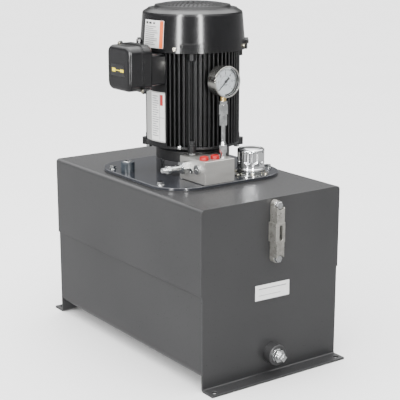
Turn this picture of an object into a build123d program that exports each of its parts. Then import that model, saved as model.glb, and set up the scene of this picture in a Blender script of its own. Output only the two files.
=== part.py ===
from build123d import *
import os
from math import acos, cos, pi, radians, sin, sqrt, tan

os.makedirs("parts", exist_ok=True)

# Hydraulic power unit: a welded steel oil tank with a bolted cover plate that carries a vertical
# finned electric motor, a submerged gear pump, a valve manifold with pressure gauge, and a filler.
# Units mm. +Z up, origin on the floor under the middle of the unit. The end with the level gauge
# and the drain faces -Y, the conduit box and the relief valve point to -X.

# ---------------------------------------------------------------- driving dimensions: tank
tank_length = 610.0
tank_width = 372.0
tank_top = 394.0
leg_height = 28.0
wrap_sheet = 3.0
end_sheet = 4.8
seam_height = 210.0
seam_lap = 20.0
top_bend = 8.0
bottom_bend = 15.0
foot_depth = 35.0
foot_hole_radius = 6.5
foot_hole_x = 169.0
foot_hole_from_wall = 22.0
opening_x = 272.0
opening_y = 300.0

front_y = -tank_length / 2
inner_width = tank_width - 2 * wrap_sheet
wrap_length = tank_length - 2 * end_sheet

# ---------------------------------------------------------------- driving dimensions: cover
cover_side = 332.0
cover_corner = 78.0
gasket_thick = 2.0
cover_thick = 6.0
cover_bolt_x = 149.0
cover_bolt_y = 99.0
cover_z = tank_top + gasket_thick
deck_z = cover_z + cover_thick
return_x, return_y = -134.0, 58.0
filler_x, filler_y = 79.0, -124.0

# ---------------------------------------------------------------- driving dimensions: motor
motor_x, motor_y = 0.0, -9.0
motor_face_z = 436.0
neck_radius = 84.0
neck_top_z = 458.0
ring_low_z = 468.0
frame_bottom_z = 473.0
frame_top_z = 684.0
frame_radius = 106.0
fin_root_radius = 93.0
fin_count = 60
fin_thick = 3.6
stator_radius = 85.0
lug_angle = 54.0
lug_radius = 115.0
cover_rim_z = 680.5
cover_rim_radius = 118.7
cover_shoulder_z = 758.5
cover_shoulder_radius = 112.0
cover_top_z = 777.0
cover_dome_z = 784.0
shaft_radius = 14.2
rotor_radius = 52.0
air_gap = 0.6
face_bolt_radius = 74.6
running = 0.04

# ---------------------------------------------------------------- driving dimensions: pump
gear_teeth = 14
gear_module = 3.0
gear_pressure = radians(25)
gear_backlash = 0.35
gear_centres = gear_teeth * gear_module
pump_flange_z = 372.0
chamber_z = 344.0
pump_cover_z = 318.0
gear_axis_y = motor_y + gear_centres

# ---------------------------------------------------------------- driving dimensions: manifold
block_left, block_right = -77.0, 2.0
block_front, block_back = -165.0, -70.0
block_height = 52.0
block_top_z = deck_z + block_height
valve_y, valve_z = -97.0, 432.0
port_y = -144.0
gauge_x = -14.0
plug_xs = (-64.5, -35.5)

# ---------------------------------------------------------------- driving dimensions: gauge
dial_z = 621.5
case_radius = 33.0
case_back_y = port_y + 12.0
case_front_y = port_y - 14.0
pointer_zero = 225.0

# ---------------------------------------------------------------- driving dimensions: level gauge
level_top_z, level_bottom_z = 381.0, 265.0
drain_z = 48.0


def write(piece, name):
    """Labels a finished piece and writes it as its own STEP file."""
    piece.part.label = name
    export_step(piece.part, "parts/" + name + ".step")
    print(name, round(piece.part.volume))


def around(radius, angles, centre=(motor_x, motor_y)):
    """Points on a circle about the motor's axis."""
    return [
        (centre[0] + radius * cos(radians(a)), centre[1] + radius * sin(radians(a)))
        for a in angles
    ]


def motor_plane(z):
    """A level plane whose origin is on the motor's axis."""
    return Plane((motor_x, motor_y, z))


# ================================================================ tank
def wrapper_line(width, low, high, bend, sheet):
    """Outer edge of a U of sheet that opens downwards, drawn in X and Z, and its inner edge."""
    outer = [(-width / 2, low), (-width / 2, high), (width / 2, high), (width / 2, low)]
    half = width / 2 - sheet
    inner = [(half, low), (half, high - sheet), (-half, high - sheet), (-half, low)]
    return outer, inner


upper_outer, upper_inner = wrapper_line(tank_width, seam_height, tank_top, top_bend, wrap_sheet)
with BuildPart() as upper_wrapper:
    with BuildSketch(Plane.XZ):
        with BuildLine():
            FilletPolyline(*upper_outer, radius=top_bend)
            Line(upper_outer[-1], upper_inner[0])
            FilletPolyline(*upper_inner, radius=top_bend - wrap_sheet)
            Line(upper_inner[-1], upper_outer[0])
        make_face()
    extrude(amount=wrap_length / 2, both=True)
    with BuildSketch(Plane.XY.offset(tank_top - wrap_sheet - 1)):
        RectangleRounded(opening_x, opening_y, 40)
        with Locations((return_x, return_y)):
            Circle(13)
    extrude(amount=wrap_sheet + 2, mode=Mode.SUBTRACT)
    with BuildSketch(Plane.XY.offset(tank_top - wrap_sheet - 1)):
        with GridLocations(2 * cover_bolt_x, 2 * cover_bolt_y, 2, 2):
            Circle(4.4)
    extrude(amount=wrap_sheet + 2, mode=Mode.SUBTRACT)
write(upper_wrapper, "upper_wrapper")

lower_top = seam_height + seam_lap
lower_outer = [
    (-inner_width / 2, lower_top),
    (-inner_width / 2, leg_height),
    (inner_width / 2, leg_height),
    (inner_width / 2, lower_top),
]
lower_half = inner_width / 2 - wrap_sheet
lower_inner = [
    (lower_half, lower_top),
    (lower_half, leg_height + wrap_sheet),
    (-lower_half, leg_height + wrap_sheet),
    (-lower_half, lower_top),
]
with BuildPart() as lower_wrapper:
    with BuildSketch(Plane.XZ):
        with BuildLine():
            FilletPolyline(*lower_outer, radius=bottom_bend)
            Line(lower_outer[-1], lower_inner[0])
            FilletPolyline(*lower_inner, radius=bottom_bend - wrap_sheet)
            Line(lower_inner[-1], lower_outer[0])
        make_face()
    extrude(amount=wrap_length / 2, both=True)
write(lower_wrapper, "lower_wrapper")


def end_plate(side):
    """Flat end wall whose foot is bent outwards on the floor; side is -1 for the front."""
    wall_in = side * (tank_length / 2 - end_sheet)
    wall_out = side * tank_length / 2
    foot_end = side * (tank_length / 2 + foot_depth)
    with BuildPart() as plate:
        with BuildSketch(Plane.XZ.offset(-wall_in)):
            with Locations((0, (tank_top + seam_height) / 2)):
                Rectangle(tank_width, tank_top - seam_height)
            with Locations((0, seam_height / 2 + 5)):
                Rectangle(inner_width, seam_height - 10)
        extrude(amount=-side * end_sheet)
        top_edges = plate.edges().filter_by(Axis.Y).sort_by(Axis.Z)[-2:]
        fillet(top_edges, top_bend)
        with BuildSketch(Plane.YZ):
            with BuildLine():
                FilletPolyline(
                    (wall_in, 12), (wall_in, 0), (foot_end, 0), radius=7
                )
                Line((foot_end, 0), (foot_end, end_sheet))
                FilletPolyline(
                    (foot_end, end_sheet), (wall_out, end_sheet), (wall_out, 12), radius=2.4
                )
                Line((wall_out, 12), (wall_in, 12))
            make_face()
        extrude(amount=inner_width / 2, both=True)
        with BuildSketch(Plane.XY):
            with Locations(
                (-foot_hole_x, wall_out + side * foot_hole_from_wall),
                (foot_hole_x, wall_out + side * foot_hole_from_wall),
            ):
                Circle(foot_hole_radius)
        extrude(amount=end_sheet, mode=Mode.SUBTRACT)
    return plate


def bore_along_y(plate, x, z, radius, reach=40):
    """Drills a plate through its front wall."""
    with BuildPart(mode=Mode.PRIVATE) as cutter:
        with BuildSketch(Plane.XZ.offset(-front_y - reach / 2)):
            with Locations((x, z)):
                Circle(radius)
        extrude(amount=reach)
    plate.part = plate.part - cutter.part


front_end_plate = end_plate(-1)
for hole_z, hole_radius in ((level_top_z, 6.2), (level_bottom_z, 6.2), (drain_z, 17.0)):
    bore_along_y(front_end_plate, 0, hole_z, hole_radius)
write(front_end_plate, "front_end_plate")

rear_end_plate = end_plate(1)
write(rear_end_plate, "rear_end_plate")

# ---------------------------------------------------------------- drain
drain_plane = Plane((0, front_y, drain_z), x_dir=(1, 0, 0), z_dir=(0, -1, 0))
coupling_length = 23.0
with BuildPart() as drain_coupling:
    with BuildSketch(drain_plane):
        Circle(23)
        Circle(15, mode=Mode.SUBTRACT)
    extrude(amount=coupling_length)
    chamfer(drain_coupling.edges().filter_by(GeomType.CIRCLE).sort_by(Axis.Y)[0:2], 1.2)
write(drain_coupling, "drain_coupling")

with BuildPart() as drain_bushing:
    with BuildSketch(drain_plane.offset(coupling_length)):
        RegularPolygon(13.0, 6, major_radius=False)
    extrude(amount=7)
    with BuildSketch(drain_plane.offset(4)):
        Circle(15)
    extrude(amount=coupling_length - 4)
    with BuildSketch(drain_plane.offset(4)):
        Circle(9.5)
    extrude(amount=40, mode=Mode.SUBTRACT)
write(drain_bushing, "drain_bushing")

plug_seat = coupling_length + 7
with BuildPart() as drain_plug:
    with BuildSketch(drain_plane.offset(plug_seat - 16)):
        Circle(9.5)
    extrude(amount=18)
    with BuildSketch(drain_plane.offset(plug_seat + 2)):
        Rectangle(13.5, 13.5, rotation=45)
    extrude(amount=12)
    chamfer(drain_plug.faces().sort_by(Axis.Y)[0].edges(), 1.0)
write(drain_plug, "drain_plug")

# ---------------------------------------------------------------- level gauge
level_mid = (level_top_z + level_bottom_z) / 2
level_plane = Plane((0, front_y, level_mid), x_dir=(1, 0, 0), z_dir=(0, -1, 0))
bolt_reach = (level_top_z - level_bottom_z) / 2
housing_width, housing_depth = 20.0, 24.0
housing_half = 54.5
boss_radius, head_radius, head_seat = 10.0, 9.4, 14.0
with BuildPart() as level_gauge_housing:
    with BuildSketch(level_plane.offset(1.0)):
        Rectangle(housing_width, 2 * housing_half)
    extrude(amount=housing_depth)
    with BuildSketch(level_plane.offset(1.0)):
        with Locations((-1.0, 0)):
            Rectangle(housing_width + 5, 42)
    extrude(amount=housing_depth + 1)
    front_edges = level_gauge_housing.faces().sort_by(Axis.Y)[0].edges().filter_by(Axis.Z)
    fillet(front_edges, 0.8)
    with BuildSketch(level_plane.offset(1.0)):
        with Locations((0, bolt_reach), (0, -bolt_reach)):
            Circle(boss_radius)
    extrude(amount=head_seat - 1)
    with BuildSketch(level_plane.offset(1.0)):
        with Locations((0, bolt_reach), (0, -bolt_reach)):
            Circle(5.1)
    extrude(amount=14, mode=Mode.SUBTRACT)
    with BuildSketch(level_plane.offset(head_seat)):
        with Locations((0, bolt_reach), (0, -bolt_reach)):
            Circle(head_radius)
    extrude(amount=14, mode=Mode.SUBTRACT)
    with BuildSketch(Plane((0, front_y - 14, level_mid - 46))):
        Circle(5.5)
    extrude(amount=92, mode=Mode.SUBTRACT)
    with BuildSketch(level_plane.offset(12)):
        SlotOverall(34, 8, rotation=90)
    extrude(amount=20, mode=Mode.SUBTRACT)
write(level_gauge_housing, "level_gauge_housing")

with BuildPart() as level_gauge_tube:
    with BuildSketch(Plane((0, front_y - 14, level_mid - 45))):
        Circle(5.4)
        Circle(3.6, mode=Mode.SUBTRACT)
    extrude(amount=90)
write(level_gauge_tube, "level_gauge_tube")

with BuildPart() as level_gauge_bolts:
    with BuildSketch(level_plane.offset(-16)):
        with Locations((0, bolt_reach), (0, -bolt_reach)):
            Circle(5.0)
    extrude(amount=31)
    with BuildSketch(level_plane.offset(head_seat)):
        with Locations((0, bolt_reach), (0, -bolt_reach)):
            Circle(8.8)
    extrude(amount=1.6)
    with BuildSketch(level_plane.offset(head_seat)):
        with Locations((0, bolt_reach), (0, -bolt_reach)):
            RegularPolygon(7.6, 6, major_radius=False)
    extrude(amount=8)
    chamfer(level_gauge_bolts.faces().sort_by(Axis.Y)[0:2].edges(), 0.8)
write(level_gauge_bolts, "level_gauge_bolts")

# ================================================================ cover plate and what it carries
bolt_points = [(x, y) for x in (-cover_bolt_x, cover_bolt_x) for y in (-cover_bolt_y, cover_bolt_y)]
pump_ear_x = 53.0
screw_radius, screw_head_radius, screw_head, screw_length = 4.7, 7.2, 9.5, 20.0
adapter_bolt_radius = 76.0
adapter_points = around(adapter_bolt_radius, (20, 160, 200, 340))
face_points = around(face_bolt_radius, (45, 135, 225, 315))
pump_points = [(motor_x - pump_ear_x, motor_y), (motor_x + pump_ear_x, motor_y)]
block_points = [(-66.0, -140.0), (-9.0, -140.0), (-66.0, -82.0), (-9.0, -110.0)]
riser_x, riser_y = -60.0, -118.0
riser_radius = 6.35
relief_drain = (-50.0, -97.0)
flange_points = around(36.5, (0, 60, 120, 180, 240, 300), (filler_x, filler_y))

with BuildPart() as cover_gasket:
    with BuildSketch(Plane.XY.offset(tank_top)):
        RectangleRounded(cover_side, cover_side, cover_corner)
        RectangleRounded(opening_x, opening_y, 40, mode=Mode.SUBTRACT)
        with Locations((return_x, return_y)):
            Circle(13, mode=Mode.SUBTRACT)
        with Locations(*bolt_points):
            Circle(4.4, mode=Mode.SUBTRACT)
    extrude(amount=gasket_thick)
write(cover_gasket, "cover_gasket")

with BuildPart() as cover_plate:
    with BuildSketch(Plane.XY.offset(cover_z)):
        RectangleRounded(cover_side, cover_side, cover_corner)
        with Locations(*bolt_points):
            Circle(4.4, mode=Mode.SUBTRACT)
        with Locations((motor_x, motor_y)):
            Circle(41.3, mode=Mode.SUBTRACT)
        with Locations(*adapter_points, *pump_points, *block_points):
            Circle(screw_radius + 0.4, mode=Mode.SUBTRACT)
        with Locations((return_x, return_y)):
            Circle(9.6, mode=Mode.SUBTRACT)
        with Locations((riser_x, riser_y)):
            Circle(riser_radius + 0.2, mode=Mode.SUBTRACT)
        with Locations(relief_drain):
            Circle(4, mode=Mode.SUBTRACT)
        with Locations((filler_x, filler_y)):
            Circle(28, mode=Mode.SUBTRACT)
        with Locations(*flange_points):
            Circle(2.6, mode=Mode.SUBTRACT)
    extrude(amount=cover_thick)
    top_outline = cover_plate.faces().sort_by(Axis.Z)[-1].outer_wire().edges()
    chamfer(top_outline, 0.8)
write(cover_plate, "cover_plate")

# Four sets of hex bolt, washer and nut, each of them a solid of its own.
washer_thick, bolt_shank, bolt_play = 1.8, 4.0, 0.02
nut_top_z = tank_top - wrap_sheet
with BuildPart() as cover_bolts:
    with BuildSketch(Plane.XY.offset(deck_z)):
        with Locations(*bolt_points):
            Circle(9)
            Circle(bolt_shank, mode=Mode.SUBTRACT)
    extrude(amount=washer_thick)
    with BuildSketch(Plane.XY.offset(nut_top_z - 7)):
        with Locations(*bolt_points):
            RegularPolygon(6.5, 6, major_radius=False)
            Circle(bolt_shank, mode=Mode.SUBTRACT)
    extrude(amount=7)
    with BuildSketch(Plane.XY.offset(deck_z + washer_thick + bolt_play)):
        with Locations(*bolt_points):
            RegularPolygon(6.5, 6, major_radius=False)
    extrude(amount=5.5)
    with BuildSketch(Plane.XY.offset(deck_z + washer_thick + bolt_play)):
        with Locations(*bolt_points):
            Circle(bolt_shank - bolt_play)
    extrude(amount=nut_top_z - 9 - deck_z - washer_thick)
write(cover_bolts, "cover_bolts")

# ================================================================ return line and tubes
coupling_height, tube_radius = 22.0, 9.5
with BuildPart() as return_coupling:
    with Locations((return_x, return_y, deck_z)):
        Cylinder(15.75, coupling_height, align=(Align.CENTER, Align.CENTER, Align.MIN))
        Cylinder(tube_radius + 0.1, 6, align=(Align.CENTER, Align.CENTER, Align.MIN), mode=Mode.SUBTRACT)
        Cylinder(8, coupling_height, align=(Align.CENTER, Align.CENTER, Align.MIN), mode=Mode.SUBTRACT)
    with Locations((return_x, return_y, deck_z + 10)):
        Cylinder(10.7, 12, align=(Align.CENTER, Align.CENTER, Align.MIN), mode=Mode.SUBTRACT)
    top_outline = return_coupling.faces().sort_by(Axis.Z)[-1].outer_wire().edges()
    chamfer(top_outline, 1.0)
write(return_coupling, "return_coupling")

with BuildPart() as return_plug:
    with BuildSketch(Plane((return_x, return_y, deck_z + 11))):
        Circle(10.66)
    extrude(amount=13)
    top_outline = return_plug.faces().sort_by(Axis.Z)[-1].edges()
    chamfer(top_outline, 1.0)
    with BuildSketch(Plane((return_x, return_y, deck_z + 24))):
        RegularPolygon(6.4, 6, major_radius=False)
    extrude(amount=-8, mode=Mode.SUBTRACT)
write(return_plug, "return_plug")

# The return tube hangs into the oil. The pressure tube runs from the pump up to the manifold.
riser_wall = 1.6
pressure_z = 358.0
pressure_y = (motor_y + gear_axis_y) / 2
with BuildPart() as oil_tubes:
    with BuildSketch(Plane((return_x, return_y, 150))):
        Circle(tube_radius)
        Circle(tube_radius - 2, mode=Mode.SUBTRACT)
    extrude(amount=deck_z + 5.5 - 150)
    with BuildLine() as riser_line:
        FilletPolyline(
            (-38, pressure_y, pressure_z),
            (riser_x, pressure_y, pressure_z),
            (riser_x, riser_y, pressure_z),
            (riser_x, riser_y, deck_z + 14),
            radius=18,
        )
    with BuildSketch(Plane((-38, pressure_y, pressure_z), z_dir=(-1, 0, 0))):
        Circle(riser_radius)
        Circle(riser_radius - riser_wall, mode=Mode.SUBTRACT)
    sweep(path=riser_line.line)
write(oil_tubes, "oil_tubes")

# ================================================================ adapter ring
pilot_radius, pilot_depth, web = 57.15, 8.0, 8.0
pocket_top_z = motor_face_z - web
with BuildPart() as pump_adapter:
    with BuildSketch(motor_plane(deck_z)):
        Circle(neck_radius)
        Circle(65, mode=Mode.SUBTRACT)
    extrude(amount=motor_face_z - deck_z)
    with BuildSketch(motor_plane(motor_face_z)):
        Circle(66)
        Circle(pilot_radius + running, mode=Mode.SUBTRACT)
    extrude(amount=-web)
    with BuildSketch(Plane.XY.offset(deck_z)):
        with Locations(*adapter_points):
            Circle(screw_radius + 0.03)
    extrude(amount=17, mode=Mode.SUBTRACT)
    with BuildSketch(Plane.XY.offset(deck_z)):
        with Locations(*face_points):
            Circle(8)
    extrude(amount=pocket_top_z - deck_z, mode=Mode.SUBTRACT)
    with BuildSketch(Plane.XY.offset(pocket_top_z)):
        with Locations(*face_points):
            Circle(screw_radius + 0.4)
    extrude(amount=web, mode=Mode.SUBTRACT)
    top_outline = pump_adapter.faces().sort_by(Axis.Z)[-1].outer_wire().edges()
    chamfer(top_outline, 1.2)
write(pump_adapter, "pump_adapter")

# ================================================================ motor housing
bearing_low_z, bearing_low_height, bearing_low_radius = 462.0, 16.0, 31.0
bearing_top_z, bearing_top_height, bearing_top_radius = 668.0, 15.0, 26.0
lug_size = 9.0
lug_low_z = 461.0
low_bolt_radius = 100.0
lug_lip, boss_size, boss_height = 4.0, 8.0, 14.0
top_bolt_radius = 103.0
lug_angles = tuple(lug_angle + 90 * k for k in range(4))
low_bolt_points = around(low_bolt_radius, lug_angles)
top_bolt_points = around(top_bolt_radius, lug_angles)
bell_bolt_radius = 4.0

with BuildPart() as drive_end_bell:
    with BuildSketch(motor_plane(motor_face_z)):
        Circle(pilot_radius)
    extrude(amount=-pilot_depth)
    with BuildSketch(motor_plane(motor_face_z)):
        Circle(neck_radius)
    extrude(amount=neck_top_z - motor_face_z)
    with BuildSketch(motor_plane(neck_top_z)):
        Circle(neck_radius)
    with BuildSketch(motor_plane(ring_low_z)):
        Circle(frame_radius - 2)
    loft()
    with BuildSketch(motor_plane(ring_low_z)):
        Circle(frame_radius + 0.5)
    extrude(amount=frame_bottom_z - ring_low_z)
    with BuildSketch(motor_plane(lug_low_z)):
        with PolarLocations(lug_radius - lug_size, 4, start_angle=lug_angle):
            Circle(lug_size)
    extrude(amount=frame_bottom_z - lug_low_z)
    with BuildSketch(motor_plane(lug_low_z)):
        with PolarLocations(96, 4, start_angle=lug_angle):
            Rectangle(24, 2 * lug_size)
        Circle(neck_radius - 1, mode=Mode.SUBTRACT)
    extrude(amount=frame_bottom_z - lug_low_z)
    with BuildSketch(motor_plane(frame_bottom_z)):
        Circle(91)
        Circle(40, mode=Mode.SUBTRACT)
    extrude(amount=-6, mode=Mode.SUBTRACT)
    with BuildSketch(motor_plane(frame_bottom_z)):
        Circle(67)
        Circle(40, mode=Mode.SUBTRACT)
    extrude(amount=-26, mode=Mode.SUBTRACT)
    with BuildSketch(motor_plane(frame_bottom_z)):
        Circle(40)
        Circle(bearing_low_radius, mode=Mode.SUBTRACT)
    extrude(amount=5)
    with BuildSketch(motor_plane(bearing_low_z)):
        Circle(bearing_low_radius)
    extrude(amount=bearing_low_height, mode=Mode.SUBTRACT)
    with BuildSketch(motor_plane(motor_face_z - pilot_depth)):
        Circle(29)
    extrude(amount=30, mode=Mode.SUBTRACT)
    with BuildSketch(motor_plane(motor_face_z)):
        Circle(shaft_radius + 3)
    extrude(amount=40, mode=Mode.SUBTRACT)
    with BuildSketch(Plane.XY.offset(motor_face_z)):
        with Locations(*face_points):
            Circle(screw_radius + 0.03)
    extrude(amount=16, mode=Mode.SUBTRACT)
    with BuildSketch(Plane.XY.offset(lug_low_z)):
        with Locations(*low_bolt_points):
            Circle(bell_bolt_radius + 0.5)
    extrude(amount=frame_bottom_z - lug_low_z, mode=Mode.SUBTRACT)
write(drive_end_bell, "drive_end_bell")

fin_length = frame_radius - fin_root_radius + 3
plain_half_angle = 22.5
lead_hole_z = 645.0
with BuildPart() as motor_frame:
    with BuildSketch(motor_plane(frame_bottom_z)):
        Circle(fin_root_radius)
        with PolarLocations(frame_radius - fin_length / 2, fin_count, start_angle=3):
            SlotOverall(fin_length, fin_thick)
        reach = 2 * frame_radius
        plain_rise = reach * tan(radians(plain_half_angle))
        with BuildSketch(mode=Mode.PRIVATE) as plain_side:
            Circle(frame_radius)
            Polygon((0, 0), (-reach, plain_rise), (-reach, -plain_rise), align=None, mode=Mode.INTERSECT)
        add(plain_side.sketch)
        Circle(stator_radius, mode=Mode.SUBTRACT)
    extrude(amount=frame_top_z - frame_bottom_z)
    with BuildSketch(Plane.XY.offset(frame_bottom_z)):
        with Locations(*around(lug_radius - lug_size, lug_angles)):
            Circle(lug_size)
        Circle(stator_radius + 1, mode=Mode.SUBTRACT)
    extrude(amount=lug_lip)
    with BuildSketch(Plane.XY.offset(frame_bottom_z)):
        with Locations(*around(low_bolt_radius - 1, lug_angles)):
            Circle(boss_size)
    extrude(amount=boss_height)
    with BuildSketch(Plane.XY.offset(frame_top_z)):
        with Locations(*top_bolt_points):
            Circle(lug_size)
    extrude(amount=-20)
    with BuildSketch(Plane.XY.offset(frame_bottom_z)):
        with Locations(*low_bolt_points):
            Circle(bell_bolt_radius + 0.03)
    extrude(amount=boss_height - 1.5, mode=Mode.SUBTRACT)
    with BuildSketch(Plane.XY.offset(frame_top_z)):
        with Locations(*top_bolt_points):
            Circle(bell_bolt_radius + 0.03)
    extrude(amount=-18, mode=Mode.SUBTRACT)
    with BuildSketch(Plane((motor_x - frame_radius - 1, motor_y, lead_hole_z), z_dir=(1, 0, 0))):
        Circle(14)
    extrude(amount=30, mode=Mode.SUBTRACT)
write(motor_frame, "motor_frame")

ear_half_angle = 14.0
bell_plate_height = 10.0
with BuildPart() as fan_end_bell:
    with BuildSketch(motor_plane(frame_top_z)):
        with PolarLocations(0, 4, start_angle=45):
            ear_rise = 125 * tan(radians(ear_half_angle))
            Polygon((0, 0), (125, -ear_rise), (125, ear_rise), align=None)
        Circle(115.2, mode=Mode.INTERSECT)
        Circle(fin_root_radius)
    extrude(amount=bell_plate_height)
    with BuildSketch(motor_plane(bearing_top_z - 2)):
        Circle(bearing_top_radius + 6)
    extrude(amount=frame_top_z + bell_plate_height - bearing_top_z + 2)
    with BuildSketch(motor_plane(bearing_top_z - 2)):
        Circle(bearing_top_radius)
    extrude(amount=bearing_top_height + 2, mode=Mode.SUBTRACT)
    with BuildSketch(motor_plane(bearing_top_z)):
        Circle(16)
    extrude(amount=40, mode=Mode.SUBTRACT)
    with BuildSketch(Plane.XY.offset(frame_top_z)):
        with Locations(*top_bolt_points):
            Circle(bell_bolt_radius + 0.5)
    extrude(amount=bell_plate_height, mode=Mode.SUBTRACT)
    for angle in lug_angles:
        x_dir = (cos(radians(angle - 18)), sin(radians(angle - 18)), 0)
        with BuildSketch(Plane((motor_x + 118 * x_dir[0], motor_y + 118 * x_dir[1], 689), z_dir=x_dir)):
            Circle(2.43)
        extrude(amount=-18, mode=Mode.SUBTRACT)
write(fan_end_bell, "fan_end_bell")

# Hex bolts that clamp the bells on the frame. The lower ones come up from below, the upper ones down.
with BuildPart() as bell_bolts:
    with BuildSketch(Plane.XY.offset(lug_low_z)):
        with Locations(*low_bolt_points):
            RegularPolygon(6.5, 6, major_radius=False)
    extrude(amount=-5.3)
    with BuildSketch(Plane.XY.offset(lug_low_z)):
        with Locations(*low_bolt_points):
            Circle(bell_bolt_radius)
    extrude(amount=frame_bottom_z + boss_height - 2.5 - lug_low_z)
    with BuildSketch(Plane.XY.offset(frame_top_z + bell_plate_height)):
        with Locations(*top_bolt_points):
            RegularPolygon(6.5, 6, major_radius=False)
    extrude(amount=6)
    with BuildSketch(Plane.XY.offset(frame_top_z + bell_plate_height)):
        with Locations(*top_bolt_points):
            Circle(bell_bolt_radius)
    extrude(amount=-27)
write(bell_bolts, "bell_bolts")

# ---------------------------------------------------------------- fan cover
cover_wall = 2.0
cover_slope = (cover_rim_radius - cover_shoulder_radius) / (cover_shoulder_z - cover_rim_z)
pad_top_z, pad_proud, pad_half_angle = 701.0, 4.5, 12.0
grille_rings = ((6, 12), (12, 23), (18, 34), (26, 45), (34, 56), (44, 67), (52, 77))


def cover_profile(inset, start_z):
    """Half section of the fan cover, drawn in radius and height, moved inwards by the inset."""
    start = cover_rim_radius + (cover_rim_z - start_z) * cover_slope
    return [
        (0, start_z),
        (start - inset, start_z),
        (cover_shoulder_radius - inset, cover_shoulder_z),
        (cover_shoulder_radius - 1.5 - inset, cover_shoulder_z + 4.5 - inset / 2),
        (101 - inset, cover_top_z - 8.5 - inset),
        (99 - inset, cover_top_z - 6.5 - inset),
        (87 - inset, cover_top_z - 5.5 - inset),
        (84 - inset, cover_top_z - inset),
        (60 - inset / 2, cover_dome_z - 3 - inset),
        (30, cover_dome_z - 0.6 - inset),
        (0, cover_dome_z - inset),
    ]


axis_section = Plane((motor_x, motor_y, 0), x_dir=(1, 0, 0), z_dir=(0, -1, 0))
with BuildPart() as fan_cover:
    with BuildSketch(axis_section):
        Polygon(*cover_profile(0, cover_rim_z), align=None)
    revolve(axis=Axis((motor_x, motor_y, 0), (0, 0, 1)))
    with BuildSketch(motor_plane(cover_rim_z)):
        with PolarLocations(0, 4, start_angle=lug_angle):
            pad_rise = 140 * tan(radians(pad_half_angle))
            Polygon((0, 0), (140, -pad_rise), (140, pad_rise), align=None)
        Circle(cover_rim_radius + pad_proud, mode=Mode.INTERSECT)
    extrude(amount=pad_top_z - cover_rim_z)
    with BuildSketch(axis_section):
        Polygon(*cover_profile(cover_wall, cover_rim_z - 1), align=None)
    revolve(axis=Axis((motor_x, motor_y, 0), (0, 0, 1)), mode=Mode.SUBTRACT)
    with BuildSketch(motor_plane(cover_dome_z + 1)):
        for count, radius in grille_rings:
            with PolarLocations(radius, count):
                SlotOverall(7.5, 4.6)
    extrude(amount=cover_top_z - cover_dome_z - 6, mode=Mode.SUBTRACT)
    for angle in lug_angles:
        for side in (-1, 1):
            turn = radians(angle + side * (pad_half_angle - 2.2))
            out = (cos(turn), sin(turn), 0)
            seat = Plane(
                (motor_x + 118 * out[0], motor_y + 118 * out[1], pad_top_z - 4), z_dir=out
            )
            with BuildSketch(seat):
                Circle(4.6)
            extrude(amount=pad_proud + 4)
    for angle in lug_angles:
        x_dir = (cos(radians(angle - 18)), sin(radians(angle - 18)), 0)
        with BuildSketch(Plane((motor_x + 122 * x_dir[0], motor_y + 122 * x_dir[1], 689), z_dir=x_dir)):
            Circle(2.7)
        extrude(amount=-12, mode=Mode.SUBTRACT)
write(fan_cover, "fan_cover")

# ================================================================ motor, inside
core_low_z, core_high_z = 520.0, 640.0
with BuildPart() as stator_core:
    with BuildSketch(motor_plane(core_low_z)):
        Circle(stator_radius)
        Circle(rotor_radius + air_gap, mode=Mode.SUBTRACT)
        with PolarLocations(66, 24):
            SlotOverall(20, 6, mode=Mode.SUBTRACT)
    extrude(amount=core_high_z - core_low_z)
write(stator_core, "stator_core")

# End turns above and below the core, joined by the wires that lie in its slots.
with BuildPart() as stator_windings:
    with BuildSketch(motor_plane(core_low_z - 20)):
        Circle(80)
        Circle(57, mode=Mode.SUBTRACT)
    extrude(amount=20)
    with BuildSketch(motor_plane(core_low_z)):
        with PolarLocations(66, 24):
            SlotOverall(19.6, 5.6)
    extrude(amount=core_high_z - core_low_z)
    with BuildSketch(motor_plane(core_high_z)):
        Circle(80)
        Circle(57, mode=Mode.SUBTRACT)
    extrude(amount=20)
write(stator_windings, "stator_windings")

shaft_steps = (
    (14.2, 432.0, 461.0),
    (15.0, 461.0, 479.0),
    (19.0, 479.0, 505.0),
    (17.0, 505.0, 655.0),
    (15.0, 655.0, 667.5),
    (12.5, 667.5, 683.5),
    (11.0, 683.5, 738.0),
)
with BuildPart() as motor_shaft:
    for radius, low_z, high_z in shaft_steps:
        with BuildSketch(motor_plane(low_z)):
            Circle(radius)
        extrude(amount=high_z - low_z)
write(motor_shaft, "motor_shaft")

with BuildPart() as rotor_core:
    with BuildSketch(motor_plane(core_low_z)):
        Circle(rotor_radius)
    extrude(amount=core_high_z - core_low_z)
    with BuildSketch(motor_plane(core_low_z - 8)):
        Circle(49)
        Circle(30, mode=Mode.SUBTRACT)
    extrude(amount=core_high_z - core_low_z + 16)
    with BuildSketch(motor_plane(core_low_z - 8)):
        Circle(17.02)
    extrude(amount=core_high_z - core_low_z + 16, mode=Mode.SUBTRACT)
write(rotor_core, "rotor_core")

with BuildPart() as motor_bearings:
    with BuildSketch(motor_plane(bearing_low_z)):
        Circle(bearing_low_radius - 0.02)
        Circle(15 + running, mode=Mode.SUBTRACT)
    extrude(amount=bearing_low_height)
    with BuildSketch(motor_plane(bearing_top_z)):
        Circle(bearing_top_radius - 0.02)
        Circle(12.5 + running, mode=Mode.SUBTRACT)
    extrude(amount=bearing_top_height)
    with BuildSketch(motor_plane(bearing_low_z + bearing_low_height)):
        Circle(27)
        Circle(19.5, mode=Mode.SUBTRACT)
    extrude(amount=-1, mode=Mode.SUBTRACT)
    with BuildSketch(motor_plane(bearing_top_z + bearing_top_height)):
        Circle(22.5)
        Circle(16, mode=Mode.SUBTRACT)
    extrude(amount=-1, mode=Mode.SUBTRACT)
write(motor_bearings, "motor_bearings")

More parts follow.
